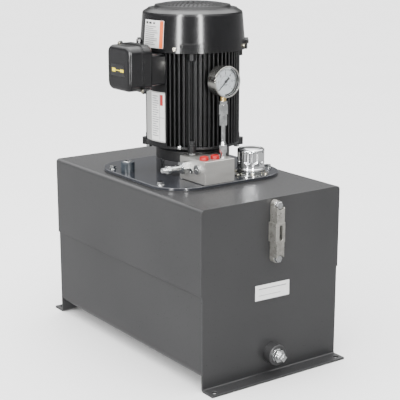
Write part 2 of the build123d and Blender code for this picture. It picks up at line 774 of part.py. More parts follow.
with BuildPart() as cooling_fan:
    with BuildSketch(motor_plane(700)):
        Circle(20)
    extrude(amount=36)
    with BuildSketch(motor_plane(704)):
        Circle(92)
    extrude(amount=3)
    with BuildSketch(motor_plane(707)):
        with PolarLocations(55, 9):
            Rectangle(74, 3)
    extrude(amount=29)
    with BuildSketch(motor_plane(700)):
        Circle(11.02)
    extrude(amount=36, mode=Mode.SUBTRACT)
write(cooling_fan, "cooling_fan")

# ================================================================ conduit box
box_y, box_z = motor_y, 648.5
box_width, box_height, box_corner = 93.0, 97.0, 18.0
box_seam_x, box_front_x, pan_back_x = -160.0, -196.0, -137.5
base_width, base_height, base_z = 80.0, 70.0, 643.5
box_wall = 3.0
conduit_x, conduit_radius = -174.5, 11.1
box_ears = [(box_y + 46.5, box_z + 47), (box_y - 46.5, box_z - 47)]
ear_points = [(box_y - y, z - box_z) for y, z in box_ears]


def box_plane(x, z):
    """A plane facing -X behind the conduit box, with its first axis along -Y and its second along +Z."""
    return Plane((x, box_y, z), x_dir=(0, -1, 0), z_dir=(-1, 0, 0))


with BuildPart() as conduit_box:
    with BuildSketch(box_plane(pan_back_x, box_z)):
        RectangleRounded(box_width + 5, box_height + 5, box_corner + 2.5)
    extrude(amount=pan_back_x - box_seam_x)
    pan_outline = conduit_box.faces().sort_by(Axis.X)[-1].edges()
    fillet(pan_outline, 6)
    with BuildSketch(box_plane(-96, base_z)):
        RectangleRounded(base_width, base_height, 8)
    extrude(amount=-96 - pan_back_x)
    with BuildSketch(box_plane(box_seam_x, box_z)):
        with Locations(*ear_points):
            Circle(6)
    extrude(amount=-3)
    with BuildSketch(box_plane(pan_back_x - box_wall, box_z)):
        RectangleRounded(box_width - 2 * box_wall, box_height - 2 * box_wall, box_corner - box_wall)
    extrude(amount=pan_back_x - box_wall - box_seam_x, mode=Mode.SUBTRACT)
    with BuildSketch(box_plane(-111, base_z)):
        RectangleRounded(base_width - 8, base_height - 8, 5)
    extrude(amount=-111 - box_seam_x, mode=Mode.SUBTRACT)
    with BuildSketch(motor_plane(590)):
        Circle(frame_radius)
    extrude(amount=120, mode=Mode.SUBTRACT)
    with BuildSketch(box_plane(-96, lead_hole_z)):
        Circle(12)
    extrude(amount=30, mode=Mode.SUBTRACT)
    with BuildSketch(box_plane(box_seam_x, box_z)):
        with Locations(*ear_points):
            Circle(2.43)
    extrude(amount=-3, mode=Mode.SUBTRACT)
write(conduit_box, "conduit_box")

with BuildPart() as conduit_box_cover:
    with BuildSketch(box_plane(box_seam_x, box_z)):
        RectangleRounded(box_width, box_height, box_corner)
    extrude(amount=box_seam_x - box_front_x)
    front_outline = conduit_box_cover.faces().sort_by(Axis.X)[0].edges()
    fillet(front_outline, 9)
    with BuildSketch(box_plane(box_seam_x, box_z)):
        RectangleRounded(box_width + 2, box_height + 2, box_corner + 1)
        with Locations(*ear_points):
            Circle(6)
    extrude(amount=3)
    with BuildSketch(box_plane(box_seam_x, box_z)):
        RectangleRounded(box_width - 2 * box_wall, box_height - 2 * box_wall, box_corner - box_wall)
    extrude(amount=box_seam_x - box_front_x - box_wall, mode=Mode.SUBTRACT)
    with BuildSketch(box_plane(box_seam_x, box_z)):
        with Locations(*ear_points):
            Circle(2.7)
    extrude(amount=3, mode=Mode.SUBTRACT)
    entry_y = box_y + box_width / 2 + 1
    with BuildSketch(Plane((conduit_x, entry_y, box_z), z_dir=(0, -1, 0))):
        Circle(conduit_radius)
    extrude(amount=2 + box_wall, mode=Mode.SUBTRACT)
write(conduit_box_cover, "conduit_box_cover")

# ================================================================ flexible coupling
jaw_low_z, jaw_high_z = 420.0, 432.0
hub_radius, jaw_inner, jaw_half_angle = 25.0, 13.0, 21.0
pump_shaft_end = 8.0


def jaw(grow):
    """One straight-sided coupling jaw, pointing along the sketch's first axis, made larger by grow."""
    inner = jaw_inner - grow
    side = tan(radians(jaw_half_angle))
    outer = hub_radius * 0.97 + 40 * grow
    return [
        (inner, -inner * side - grow),
        (outer, -outer * side - grow),
        (outer, outer * side + grow),
        (inner, inner * side + grow),
    ]


with BuildPart() as coupling_hubs:
    with BuildSketch(motor_plane(404)):
        Circle(hub_radius)
        Circle(pump_shaft_end + 0.02, mode=Mode.SUBTRACT)
    extrude(amount=jaw_low_z - 404)
    with BuildSketch(motor_plane(jaw_low_z)):
        with PolarLocations(0, 3, start_angle=0):
            Polygon(*jaw(0), align=None)
    extrude(amount=jaw_high_z - jaw_low_z - 0.3)
    with BuildSketch(motor_plane(jaw_high_z)):
        Circle(hub_radius)
        Circle(shaft_radius + 0.02, mode=Mode.SUBTRACT)
    extrude(amount=23)
    with BuildSketch(motor_plane(jaw_low_z + 0.3)):
        with PolarLocations(0, 3, start_angle=60):
            Polygon(*jaw(0), align=None)
    extrude(amount=jaw_high_z - jaw_low_z - 0.3)
write(coupling_hubs, "coupling_hubs")

with BuildPart() as coupling_spider:
    with BuildSketch(motor_plane(jaw_low_z + 0.5)):
        Circle(hub_radius)
        Circle(9, mode=Mode.SUBTRACT)
        with PolarLocations(0, 6):
            Polygon(*jaw(0.05), align=None, mode=Mode.SUBTRACT)
    extrude(amount=jaw_high_z - jaw_low_z - 1)
write(coupling_spider, "coupling_spider")

# ================================================================ gear pump
pitch_radius = gear_teeth * gear_module / 2
tip_radius = pitch_radius + 0.9 * gear_module
root_radius = pitch_radius - 1.2 * gear_module
base_radius = pitch_radius * cos(gear_pressure)
journal_radius = 9.0
case_width, case_length, case_edge = 76.0, 118.0, 12.0
pump_mid_y = (motor_y + gear_axis_y) / 2
case_points = [(x, pump_mid_y + y) for x in (-29, 29) for y in (-50, 50)]
case_screw_z = 332.0
suction_x = 18.0


def involute(angle):
    """Involute of an angle in radians."""
    return tan(angle) - angle


def gear_outline(phase):
    """Corner points of an involute spur gear with one tooth centred on the phase angle."""
    thickness = (pi * gear_module - gear_backlash * 2) / 2
    half_pitch = thickness / (2 * pitch_radius) + involute(gear_pressure)
    steps = 6
    flank = [(root_radius, half_pitch), (base_radius, half_pitch)]
    for step in range(1, steps + 1):
        radius = base_radius + (tip_radius - base_radius) * step / steps
        flank.append((radius, half_pitch - involute(acos(base_radius / radius))))
    tooth = [(r, -a) for r, a in flank] + [(r, a) for r, a in reversed(flank)]
    points = []
    for number in range(gear_teeth):
        centre = radians(phase) + 2 * pi * number / gear_teeth
        points += [(r * cos(centre + a), r * sin(centre + a)) for r, a in tooth]
    return points


with BuildPart() as drive_gear:
    with BuildSketch(motor_plane(chamber_z + 0.05)):
        Polygon(*gear_outline(90), align=None)
    extrude(amount=pump_flange_z - chamber_z - 0.1)
    with BuildSketch(motor_plane(pump_cover_z + 3)):
        Circle(journal_radius)
    extrude(amount=cover_z - pump_cover_z - 3)
    with BuildSketch(motor_plane(cover_z)):
        Circle(pump_shaft_end)
    extrude(amount=22)
write(drive_gear, "drive_gear")

with BuildPart() as driven_gear:
    with BuildSketch(Plane((motor_x, gear_axis_y, chamber_z + 0.05))):
        Polygon(*gear_outline(270 + 180 / gear_teeth), align=None)
    extrude(amount=pump_flange_z - chamber_z - 0.1)
    with BuildSketch(Plane((motor_x, gear_axis_y, pump_cover_z + 3))):
        Circle(journal_radius)
    extrude(amount=cover_z - 6 - pump_cover_z - 3)
write(driven_gear, "driven_gear")

pump_pilot_radius = 41.27
with BuildPart() as pump_body:
    with BuildSketch(Plane.XY.offset(chamber_z)):
        with Locations((motor_x, pump_mid_y)):
            RectangleRounded(case_width, case_length, case_edge)
        with Locations((motor_x, motor_y), (motor_x, gear_axis_y)):
            Circle(tip_radius + 0.1, mode=Mode.SUBTRACT)
        with Locations((motor_x + suction_x, pump_mid_y), (motor_x - suction_x, pump_mid_y)):
            Circle(8.5, mode=Mode.SUBTRACT)
    extrude(amount=pump_flange_z - chamber_z)
    with BuildSketch(Plane.XY.offset(pump_flange_z)):
        with Locations((motor_x, motor_y)):
            Circle(46)
            SlotCenterToCenter(2 * pump_ear_x, 24)
        with Locations((motor_x, pump_mid_y)):
            RectangleRounded(case_width, case_length, case_edge)
        with Locations((motor_x, motor_y)):
            Circle(journal_radius + running, mode=Mode.SUBTRACT)
    extrude(amount=cover_z - pump_flange_z)
    with BuildSketch(motor_plane(cover_z)):
        Circle(pump_pilot_radius)
        Circle(30, mode=Mode.SUBTRACT)
    extrude(amount=cover_thick)
    with BuildSketch(Plane((motor_x, gear_axis_y, pump_flange_z))):
        Circle(journal_radius + running)
    extrude(amount=20, mode=Mode.SUBTRACT)
    with BuildSketch(Plane.XY.offset(cover_z)):
        with Locations(*pump_points):
            Circle(screw_radius + 0.03)
    extrude(amount=cover_thick - screw_length - 2, mode=Mode.SUBTRACT)
    with BuildSketch(Plane.XY.offset(chamber_z)):
        with Locations(*case_points):
            Circle(screw_radius + 0.03)
    extrude(amount=14, mode=Mode.SUBTRACT)
    with BuildSketch(Plane((-42, pump_mid_y, pressure_z), z_dir=(1, 0, 0))):
        Circle(riser_radius + 0.1)
    extrude(amount=10, mode=Mode.SUBTRACT)
    with BuildSketch(Plane((-42, pump_mid_y, pressure_z), z_dir=(1, 0, 0))):
        Circle(riser_radius - riser_wall)
    extrude(amount=22, mode=Mode.SUBTRACT)
write(pump_body, "pump_body")

with BuildPart() as pump_cover:
    with BuildSketch(Plane((motor_x, pump_mid_y, pump_cover_z))):
        RectangleRounded(case_width, case_length, case_edge)
    extrude(amount=chamber_z - pump_cover_z)
    with BuildSketch(Plane.XY.offset(chamber_z)):
        with Locations((motor_x, motor_y), (motor_x, gear_axis_y)):
            Circle(journal_radius + running)
    extrude(amount=-24, mode=Mode.SUBTRACT)
    with BuildSketch(Plane.XY.offset(pump_cover_z)):
        with Locations(*case_points):
            Circle(screw_head_radius + 0.4)
    extrude(amount=case_screw_z - pump_cover_z, mode=Mode.SUBTRACT)
    with BuildSketch(Plane.XY.offset(pump_cover_z)):
        with Locations(*case_points):
            Circle(screw_radius + 0.4)
        with Locations((motor_x + suction_x, pump_mid_y)):
            Circle(8)
    extrude(amount=chamber_z - pump_cover_z, mode=Mode.SUBTRACT)
    with BuildSketch(Plane((motor_x + suction_x, pump_mid_y, pump_cover_z))):
        Circle(13.03)
    extrude(amount=12, mode=Mode.SUBTRACT)
write(pump_cover, "pump_cover")

with BuildPart() as suction_strainer:
    with BuildSketch(Plane((motor_x + suction_x, pump_mid_y, 120))):
        Circle(35)
    extrude(amount=180)
    with BuildSketch(Plane((motor_x + suction_x, pump_mid_y, 130))):
        Circle(36)
        Circle(33, mode=Mode.SUBTRACT)
    extrude(amount=158, mode=Mode.SUBTRACT)
    with BuildSketch(Plane((motor_x + suction_x, pump_mid_y, 300))):
        Circle(13)
    extrude(amount=29)
    with BuildSketch(Plane((motor_x + suction_x, pump_mid_y, 124))):
        Circle(8)
    extrude(amount=210, mode=Mode.SUBTRACT)
    with BuildSketch(Plane((motor_x + suction_x, pump_mid_y, 134))):
        Circle(31.5)
    extrude(amount=150, mode=Mode.SUBTRACT)
write(suction_strainer, "suction_strainer")

# ================================================================ socket head screws, all one size
screw_plus = [(x, y, cover_z) for x, y in adapter_points + block_points]
screw_plus += [(x, y, pocket_top_z) for x, y in face_points]
screw_plus += [(x, y, case_screw_z) for x, y in case_points]
screw_minus = [(x, y, deck_z) for x, y in pump_points]
with BuildPart() as cap_screws:
    for points, sign in ((screw_plus, 1), (screw_minus, -1)):
        with Locations(*[Plane(p, z_dir=(0, 0, sign)).location for p in points]):
            Cylinder(screw_radius, screw_length, align=(Align.CENTER, Align.CENTER, Align.MIN))
            Cylinder(screw_head_radius, screw_head, align=(Align.CENTER, Align.CENTER, Align.MAX))
        with Locations(*[Plane(p, z_dir=(0, 0, sign)).location for p in points]):
            with Locations((0, 0, -screw_head)):
                Cylinder(4, 4.8, align=(Align.CENTER, Align.CENTER, Align.MIN), mode=Mode.SUBTRACT)
write(cap_screws, "cap_screws")

# ================================================================ manifold
block_gap = 1.5
passage_radius = 4.5
passage_y, passage_z = -139.5, 434.0
small_plug_y, small_plug_z = -118.0, 427.0
cavity_radius = 10.0
side_face = Plane((block_left, 0, 0), x_dir=(0, -1, 0), z_dir=(-1, 0, 0))
with BuildPart() as manifold_block:
    with BuildSketch(Plane.XY.offset(deck_z)):
        with Locations(((block_left + block_right) / 2, (block_front + block_back) / 2)):
            Rectangle(block_right - block_left, block_back - block_front)
        with Locations((motor_x, motor_y)):
            Circle(87, mode=Mode.SUBTRACT)
    extrude(amount=block_height)
    top_outline = manifold_block.faces().sort_by(Axis.Z)[-1].edges()
    chamfer(top_outline, 0.7)
    with BuildSketch(Plane.XY.offset(deck_z)):
        with Locations(((block_left + block_right) / 2, (block_front + block_back) / 2)):
            Rectangle(block_right - block_left + 2, block_back - block_front + 2)
            Rectangle(block_right - block_left - 6, block_back - block_front - 6, mode=Mode.SUBTRACT)
    extrude(amount=block_gap, mode=Mode.SUBTRACT)
    with BuildSketch(Plane.XY.offset(block_top_z)):
        with Locations(*[(x, port_y) for x in plug_xs]):
            Circle(8.5)
        with Locations((gauge_x, port_y)):
            Circle(6.6)
    extrude(amount=-16, mode=Mode.SUBTRACT)
    with BuildSketch(Plane.XY.offset(block_top_z)):
        with Locations(*[(x, port_y) for x in plug_xs + (gauge_x,)]):
            Circle(passage_radius)
    extrude(amount=-24, mode=Mode.SUBTRACT)
    with BuildSketch(side_face):
        with Locations((-passage_y, passage_z)):
            Circle(passage_radius)
    extrude(amount=-70, mode=Mode.SUBTRACT)
    with BuildSketch(side_face):
        with Locations((-passage_y, passage_z)):
            Circle(8.5)
        with Locations((-small_plug_y, small_plug_z)):
            Circle(4.5)
    extrude(amount=-11, mode=Mode.SUBTRACT)
    with BuildSketch(side_face):
        with Locations((-valve_y, valve_z)):
            Circle(cavity_radius)
    extrude(amount=-40, mode=Mode.SUBTRACT)
    with BuildSketch(side_face):
        with Locations((-valve_y, valve_z)):
            Circle(5)
    extrude(amount=-56, mode=Mode.SUBTRACT)
    with BuildSketch(Plane.XY.offset(deck_z)):
        with Locations(*block_points):
            Circle(screw_radius + 0.03)
        with Locations((riser_x, riser_y)):
            Circle(riser_radius + 0.1)
    extrude(amount=15, mode=Mode.SUBTRACT)
    with BuildSketch(Plane.XY.offset(deck_z)):
        with Locations((riser_x, riser_y)):
            Circle(passage_radius)
        with Locations(relief_drain):
            Circle(4)
    extrude(amount=25, mode=Mode.SUBTRACT)
    with BuildSketch(Plane((riser_x, valve_y, valve_z), z_dir=(0, -1, 0))):
        Circle(passage_radius)
    extrude(amount=42, mode=Mode.SUBTRACT)
write(manifold_block, "manifold_block")

with BuildPart() as port_plugs:
    with BuildSketch(side_face):
        with Locations((-passage_y, passage_z)):
            Circle(8.46)
    extrude(amount=-10)
    with BuildSketch(side_face):
        with Locations((-passage_y, passage_z)):
            Circle(10.5)
    extrude(amount=5.5)
    with BuildSketch(side_face):
        with Locations((-small_plug_y, small_plug_z)):
            Circle(4.46)
    extrude(amount=-9)
    with BuildSketch(side_face):
        with Locations((-small_plug_y, small_plug_z)):
            Circle(6)
    extrude(amount=4)
    with BuildSketch(Plane((block_left - 6, 0, 0), x_dir=(0, -1, 0), z_dir=(-1, 0, 0))):
        with Locations((-passage_y, passage_z)):
            RegularPolygon(4.8, 6, major_radius=False)
        with Locations((-small_plug_y, small_plug_z)):
            RegularPolygon(2.4, 6, major_radius=False)
    extrude(amount=-7, mode=Mode.SUBTRACT)
write(port_plugs, "port_plugs")

with BuildPart() as dust_plugs:
    with BuildSketch(Plane.XY.offset(block_top_z)):
        with Locations(*[(x, port_y) for x in plug_xs]):
            Circle(8.4)
    extrude(amount=-10)
    with BuildSketch(Plane.XY.offset(block_top_z)):
        with Locations(*[(x, port_y) for x in plug_xs]):
            Circle(10)
    extrude(amount=5.5)
    crown = dust_plugs.faces().sort_by(Axis.Z)[-2:].edges()
    fillet(crown, 3.5)
    with BuildSketch(Plane.XY.offset(block_top_z - 10)):
        with Locations(*[(x, port_y) for x in plug_xs]):
            Circle(7)
    extrude(amount=10, mode=Mode.SUBTRACT)
write(dust_plugs, "dust_plugs")

# ================================================================ relief valve
hex_end_x, barrel_end_x, nut_end_x, screw_end_x = -94.0, -124.0, -131.0, -143.0
adjuster_radius = 5.5
bore_radius = adjuster_radius + 0.05
seat_x = -42.0
button_x = -92.0


def valve_plane(x):
    """A plane across the relief valve's axis, facing -X."""
    return Plane((x, valve_y, valve_z), x_dir=(0, -1, 0), z_dir=(-1, 0, 0))


with BuildPart() as relief_body:
    with BuildSketch(valve_plane(-38)):
        Circle(cavity_radius - 0.03)
    extrude(amount=-38 - block_left)
    with BuildSketch(valve_plane(block_left)):
        RegularPolygon(12.5, 6, major_radius=False)
    extrude(amount=block_left - hex_end_x)
    with BuildSketch(valve_plane(hex_end_x)):
        Circle(7.6)
    extrude(amount=hex_end_x - barrel_end_x)
    with BuildSketch(valve_plane(-38)):
        Circle(3)
    extrude(amount=10, mode=Mode.SUBTRACT)
    with BuildSketch(valve_plane(seat_x)):
        Circle(bore_radius)
    extrude(amount=seat_x - barrel_end_x, mode=Mode.SUBTRACT)
    with BuildSketch(Plane((-60, valve_y, valve_z), z_dir=(0, 0, -1))):
        with Locations((0, 0), (12, 0)):
            Circle(2.4)
    extrude(amount=20, mode=Mode.SUBTRACT)
write(relief_body, "relief_body")

with BuildPart() as relief_poppet:
    with BuildSketch(Plane((0, valve_y, valve_z), x_dir=(1, 0, 0), z_dir=(0, -1, 0))):
        Polygon(
            (-40.5, 0),
            (-40.5, 1.2),
            (-42.03, 2.9),
            (-42.03, 5.49),
            (-52, 5.49),
            (-52, 2.2),
            (-56, 2.2),
            (-56, 0),
            align=None,
        )
    revolve(axis=Axis((0, valve_y, valve_z), (1, 0, 0)))
write(relief_poppet, "relief_poppet")

spring_low_x, spring_high_x = -52.3, button_x + 0.3
spring_turns = 8
with BuildPart() as relief_spring:
    with BuildLine() as spring_line:
        Helix(
            pitch=(spring_low_x - spring_high_x - 1.4) / spring_turns,
            height=spring_low_x - spring_high_x - 1.4,
            radius=3.9,
            center=(spring_low_x - 0.7, valve_y, valve_z),
            direction=(-1, 0, 0),
        )
    with BuildSketch(Plane(origin=spring_line.line @ 0, z_dir=spring_line.line % 0)):
        Circle(0.65)
    sweep(path=spring_line.line, is_frenet=True)
write(relief_spring, "relief_spring")

with BuildPart() as relief_button:
    with BuildSketch(valve_plane(button_x)):
        Circle(adjuster_radius - 0.05)
    extrude(amount=8)
    with BuildSketch(valve_plane(button_x + 5)):
        Circle(2.2)
    extrude(amount=5)
write(relief_button, "relief_button")

with BuildPart() as relief_adjuster:
    with BuildSketch(valve_plane(button_x - 8)):
        Circle(adjuster_radius)
    extrude(amount=button_x - 8 - screw_end_x)
    with BuildSketch(valve_plane(screw_end_x)):
        RegularPolygon(2.5, 6, major_radius=False)
    extrude(amount=-5, mode=Mode.SUBTRACT)
write(relief_adjuster, "relief_adjuster")

with BuildPart() as relief_locknut:
    with BuildSketch(valve_plane(barrel_end_x)):
        RegularPolygon(8.5, 6, major_radius=False)
        Circle(bore_radius, mode=Mode.SUBTRACT)
    extrude(amount=barrel_end_x - nut_end_x)
write(relief_locknut, "relief_locknut")

# ================================================================ pressure gauge
def gauge_plane(z):
    """A level plane on the gauge stem's axis."""
    return Plane((gauge_x, port_y, z))


def dial_plane(y):
    """A plane facing -Y on the dial's axis."""
    return Plane((gauge_x, y, dial_z), x_dir=(1, 0, 0), z_dir=(0, -1, 0))


with BuildPart() as gauge_adapter:
    with BuildSketch(gauge_plane(block_top_z - 12)):
        Circle(6.5)
    extrude(amount=23.5)
    with BuildSketch(gauge_plane(block_top_z + 11.5)):
        RegularPolygon(8.25, 6, major_radius=False)
    extrude(amount=16)
    with BuildSketch(gauge_plane(block_top_z + 27.5)):
        Circle(7.8)
    with BuildSketch(gauge_plane(490)):
        Circle(5.6)
    loft()
    with BuildSketch(gauge_plane(block_top_z - 12)):
        Circle(2.6)
    extrude(amount=60, mode=Mode.SUBTRACT)
    with BuildSketch(gauge_plane(484)):
        Circle(4.75)
    extrude(amount=10, mode=Mode.SUBTRACT)
write(gauge_adapter, "gauge_adapter")

collar_z, socket_z = 579.2, 588.0
with BuildPart() as gauge_stem:
    with BuildSketch(gauge_plane(484)):
        Circle(4.7)
    extrude(amount=44)
    with BuildSketch(gauge_plane(526)):
        RegularPolygon(8.25, 6, major_radius=False)
    extrude(amount=21.7)
    with BuildSketch(gauge_plane(547.7)):
        Circle(7.2)
    extrude(amount=2.4)
    with BuildSketch(gauge_plane(550.1)):
        RegularPolygon(9.5, 6, major_radius=False)
    extrude(amount=21.7)
    with BuildSketch(gauge_plane(571.8)):
        Circle(8.5)
    with BuildSketch(gauge_plane(collar_z)):
        Circle(9.3)
    loft()
    with BuildSketch(gauge_plane(484)):
        Circle(2.6)
    extrude(amount=100, mode=Mode.SUBTRACT)
    with BuildSketch(gauge_plane(collar_z)):
        Circle(6.6)
    extrude(amount=-14, mode=Mode.SUBTRACT)
write(gauge_stem, "gauge_stem")

bourdon_inner, bourdon_outer = 20.0, 24.0
with BuildPart() as gauge_socket:
    with BuildSketch(gauge_plane(568)):
        Circle(6.5)
    extrude(amount=socket_z + 1.8 - 568)
    with BuildSketch(gauge_plane(socket_z + 3.5)):
        Rectangle(13, 8)
    extrude(amount=14)
    with BuildSketch(gauge_plane(socket_z + 1)):
        Rectangle(8, 8)
    extrude(amount=3)
    with BuildSketch(dial_plane(port_y + 2.5)):
        Circle(bourdon_outer)
        Circle(bourdon_inner, mode=Mode.SUBTRACT)
        Polygon((0, 0), (-40, -6), (-40, 70), (-2, 70), align=None, mode=Mode.SUBTRACT)
    extrude(amount=5)
    with BuildSketch(dial_plane(port_y - 3.2)):
        SlotCenterToCenter(44, 9, rotation=90)
        with Locations((0, 0)):
            Circle(1.25, mode=Mode.SUBTRACT)
        with Locations((0, -14)):
            Circle(1.25, mode=Mode.SUBTRACT)
    extrude(amount=1.2)
    with BuildSketch(dial_plane(port_y)):
        with Locations((0, -20)):
            Circle(4.4)
    extrude(amount=3.2)
    with BuildSketch(gauge_plane(568)):
        Circle(2.6)
    extrude(amount=30, mode=Mode.SUBTRACT)
write(gauge_socket, "gauge_socket")

with BuildPart() as gauge_case:
    with BuildSketch(dial_plane(case_back_y)):
        Circle(case_radius)
    extrude(amount=case_back_y - case_front_y)
    with BuildSketch(dial_plane(case_front_y + 3)):
        Circle(34)
    extrude(amount=5.5)
    with BuildSketch(dial_plane(case_back_y - 1.5)):
        Circle(case_radius - 1.5)
    extrude(amount=40, mode=Mode.SUBTRACT)
    with BuildSketch(dial_plane(case_back_y)):
        Circle(case_radius - 12)
    extrude(amount=0.4, mode=Mode.SUBTRACT)
    with BuildSketch(gauge_plane(580)):
        Circle(6.6)
    extrude(amount=20, mode=Mode.SUBTRACT)
    front_edges = gauge_case.edges().filter_by(GeomType.CIRCLE).sort_by(Axis.Y)[0:1]
    fillet(front_edges, 0.5)
write(gauge_case, "gauge_case")

dial_front_y = port_y - 7.0
with BuildPart() as gauge_dial:
    with BuildSketch(dial_plane(dial_front_y + 1)):
        Circle(case_radius - 1.6)
        Circle(1.6, mode=Mode.SUBTRACT)
    extrude(amount=1)
write(gauge_dial, "gauge_dial")

with BuildPart() as gauge_lens:
    with BuildSketch(dial_plane(case_front_y + 2)):
        Circle(case_radius - 1.6)
    extrude(amount=2.2)
write(gauge_lens, "gauge_lens")

arbor_radius = 1.2
pinion_radius, sector_radius, sector_drop = 1.5, 12.3, 14.0


def sector_plane(y):
    """A plane facing -Y whose origin is on the sector's pivot."""
    return Plane((gauge_x, y, dial_z - sector_drop), x_dir=(1, 0, 0), z_dir=(0, -1, 0))


with BuildPart() as gauge_pointer:
    with BuildSketch(dial_plane(port_y + 1)):
        Circle(arbor_radius)
    extrude(amount=11)
    with BuildSketch(dial_plane(port_y - 4.9)):
        Circle(pinion_radius)
    extrude(amount=1)
    with BuildSketch(dial_plane(dial_front_y - 1.8)):
        Circle(3.4)
        pointer_dir = radians(pointer_zero)
        side = (-sin(pointer_dir), cos(pointer_dir))
        tip = (26 * cos(pointer_dir), 26 * sin(pointer_dir))
        tail = (-9 * cos(pointer_dir), -9 * sin(pointer_dir))
        Polygon(
            (tip[0] + 0.25 * side[0], tip[1] + 0.25 * side[1]),
            (tail[0] + 1.6 * side[0], tail[1] + 1.6 * side[1]),
            (tail[0] - 1.6 * side[0], tail[1] - 1.6 * side[1]),
            (tip[0] - 0.25 * side[0], tip[1] - 0.25 * side[1]),
            align=None,
        )
    extrude(amount=0.8)
write(gauge_pointer, "gauge_pointer")

with BuildPart() as gauge_sector:
    with BuildSketch(sector_plane(port_y - 4.9)):
        Circle(sector_radius)
        lean = radians(90 - 18)
        spread = radians(22)
        far = 30
        with BuildSketch(mode=Mode.PRIVATE) as sector_wedge:
            Polygon(
                (0, 0),
                (far * cos(lean - spread), far * sin(lean - spread)),
                (far * cos(lean + spread), far * sin(lean + spread)),
                align=None,
            )
        add(sector_wedge.sketch, mode=Mode.INTERSECT)
        Circle(2.6)
    extrude(amount=1)
    with BuildSketch(sector_plane(port_y - 2)):
        Circle(arbor_radius)
    extrude(amount=3)
write(gauge_sector, "gauge_sector")

# ================================================================ filler breather
def filler_plane(z):
    """A level plane on the filler's axis."""
    return Plane((filler_x, filler_y, z))


flange_thick, neck_height = 2.0, 6.0
filler_neck_z = deck_z + flange_thick + neck_height
with BuildPart() as filler_flange:
    with BuildSketch(filler_plane(deck_z)):
        Circle(41.5)
        Circle(28, mode=Mode.SUBTRACT)
        with PolarLocations(36.5, 6):
            Circle(2.6, mode=Mode.SUBTRACT)
    extrude(amount=flange_thick)
    with BuildSketch(filler_plane(deck_z + flange_thick)):
        Circle(31)
        Circle(28, mode=Mode.SUBTRACT)
    extrude(amount=neck_height)
write(filler_flange, "filler_flange")

with BuildPart() as filler_strainer:
    with BuildSketch(filler_plane(filler_neck_z)):
        Circle(29.5)
        Circle(25, mode=Mode.SUBTRACT)
    extrude(amount=0.8)
    with BuildSketch(filler_plane(310)):
        Circle(26)
    extrude(amount=filler_neck_z - 310)
    with BuildSketch(filler_plane(311.2)):
        Circle(25)
    extrude(amount=110, mode=Mode.SUBTRACT)
write(filler_strainer, "filler_strainer")

seal_z = filler_neck_z + 0.9
with BuildPart() as filler_seal:
    with BuildSketch(filler_plane(seal_z)):
        Circle(30.5)
        Circle(25.5, mode=Mode.SUBTRACT)
    extrude(amount=2.1)
write(filler_seal, "filler_seal")

cap_low_z, cap_top_z, cap_radius = seal_z + 2.1, 461.0, 31.0
flute_radius, flute_circle, flute_count = 7.0, 36.4, 12
with BuildPart() as filler_cap:
    with BuildSketch(filler_plane(cap_low_z)):
        Circle(32.7)
    extrude(amount=4)
    with BuildSketch(filler_plane(cap_low_z + 4)):
        Circle(cap_radius)
    extrude(amount=cap_top_z - cap_low_z - 4)
    top_outline = filler_cap.faces().sort_by(Axis.Z)[-1].edges()
    fillet(top_outline, 5)
    with BuildSketch(filler_plane(cap_low_z + 9)):
        with PolarLocations(flute_circle, flute_count):
            Circle(flute_radius)
    extrude(amount=cap_top_z - cap_low_z - 19, mode=Mode.SUBTRACT)
    with BuildSketch(filler_plane(cap_low_z)):
        Circle(27)
    extrude(amount=cap_top_z - cap_low_z - 3, mode=Mode.SUBTRACT)
    with BuildSketch(filler_plane(cap_low_z)):
        Circle(28)
        Circle(22.5, mode=Mode.SUBTRACT)
    extrude(amount=3)
    with BuildSketch(filler_plane(filler_neck_z - 12)):
        Circle(24.95)
        Circle(22.5, mode=Mode.SUBTRACT)
    extrude(amount=cap_low_z - filler_neck_z + 13)
write(filler_cap, "filler_cap")

# ================================================================ small screws, all one size
small_head_radius, small_head, small_shank_radius, small_shank = 4.2, 2.6, 2.4, 8.0
screw_seats = [Plane((x, y, deck_z + flange_thick)) for x, y in flange_points]
for y, z in box_ears:
    screw_seats.append(Plane((box_seam_x - 3, y, z), z_dir=(-1, 0, 0)))
for angle in lug_angles:
    outward = (cos(radians(angle - 18)), sin(radians(angle - 18)), 0)
    screw_seats.append(
        Plane((motor_x + 118.5 * outward[0], motor_y + 118.5 * outward[1], 689), z_dir=outward)
    )
with BuildPart() as small_screws:
    with Locations(*[seat.location for seat in screw_seats]):
        Cylinder(small_head_radius, small_head, align=(Align.CENTER, Align.CENTER, Align.MIN))
        Cylinder(small_shank_radius, small_shank, align=(Align.CENTER, Align.CENTER, Align.MAX))
    with Locations(*[seat.offset(small_head).location for seat in screw_seats]):
        Box(5.6, 1.1, 1.2, align=(Align.CENTER, Align.CENTER, Align.MAX), mode=Mode.SUBTRACT)
write(small_screws, "small_screws")
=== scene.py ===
"""Hydraulic power unit: materials, printed and turned detail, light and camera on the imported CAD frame."""
from math import cos, hypot, pi, radians, sin

import bpy
from mathutils import Matrix, Vector


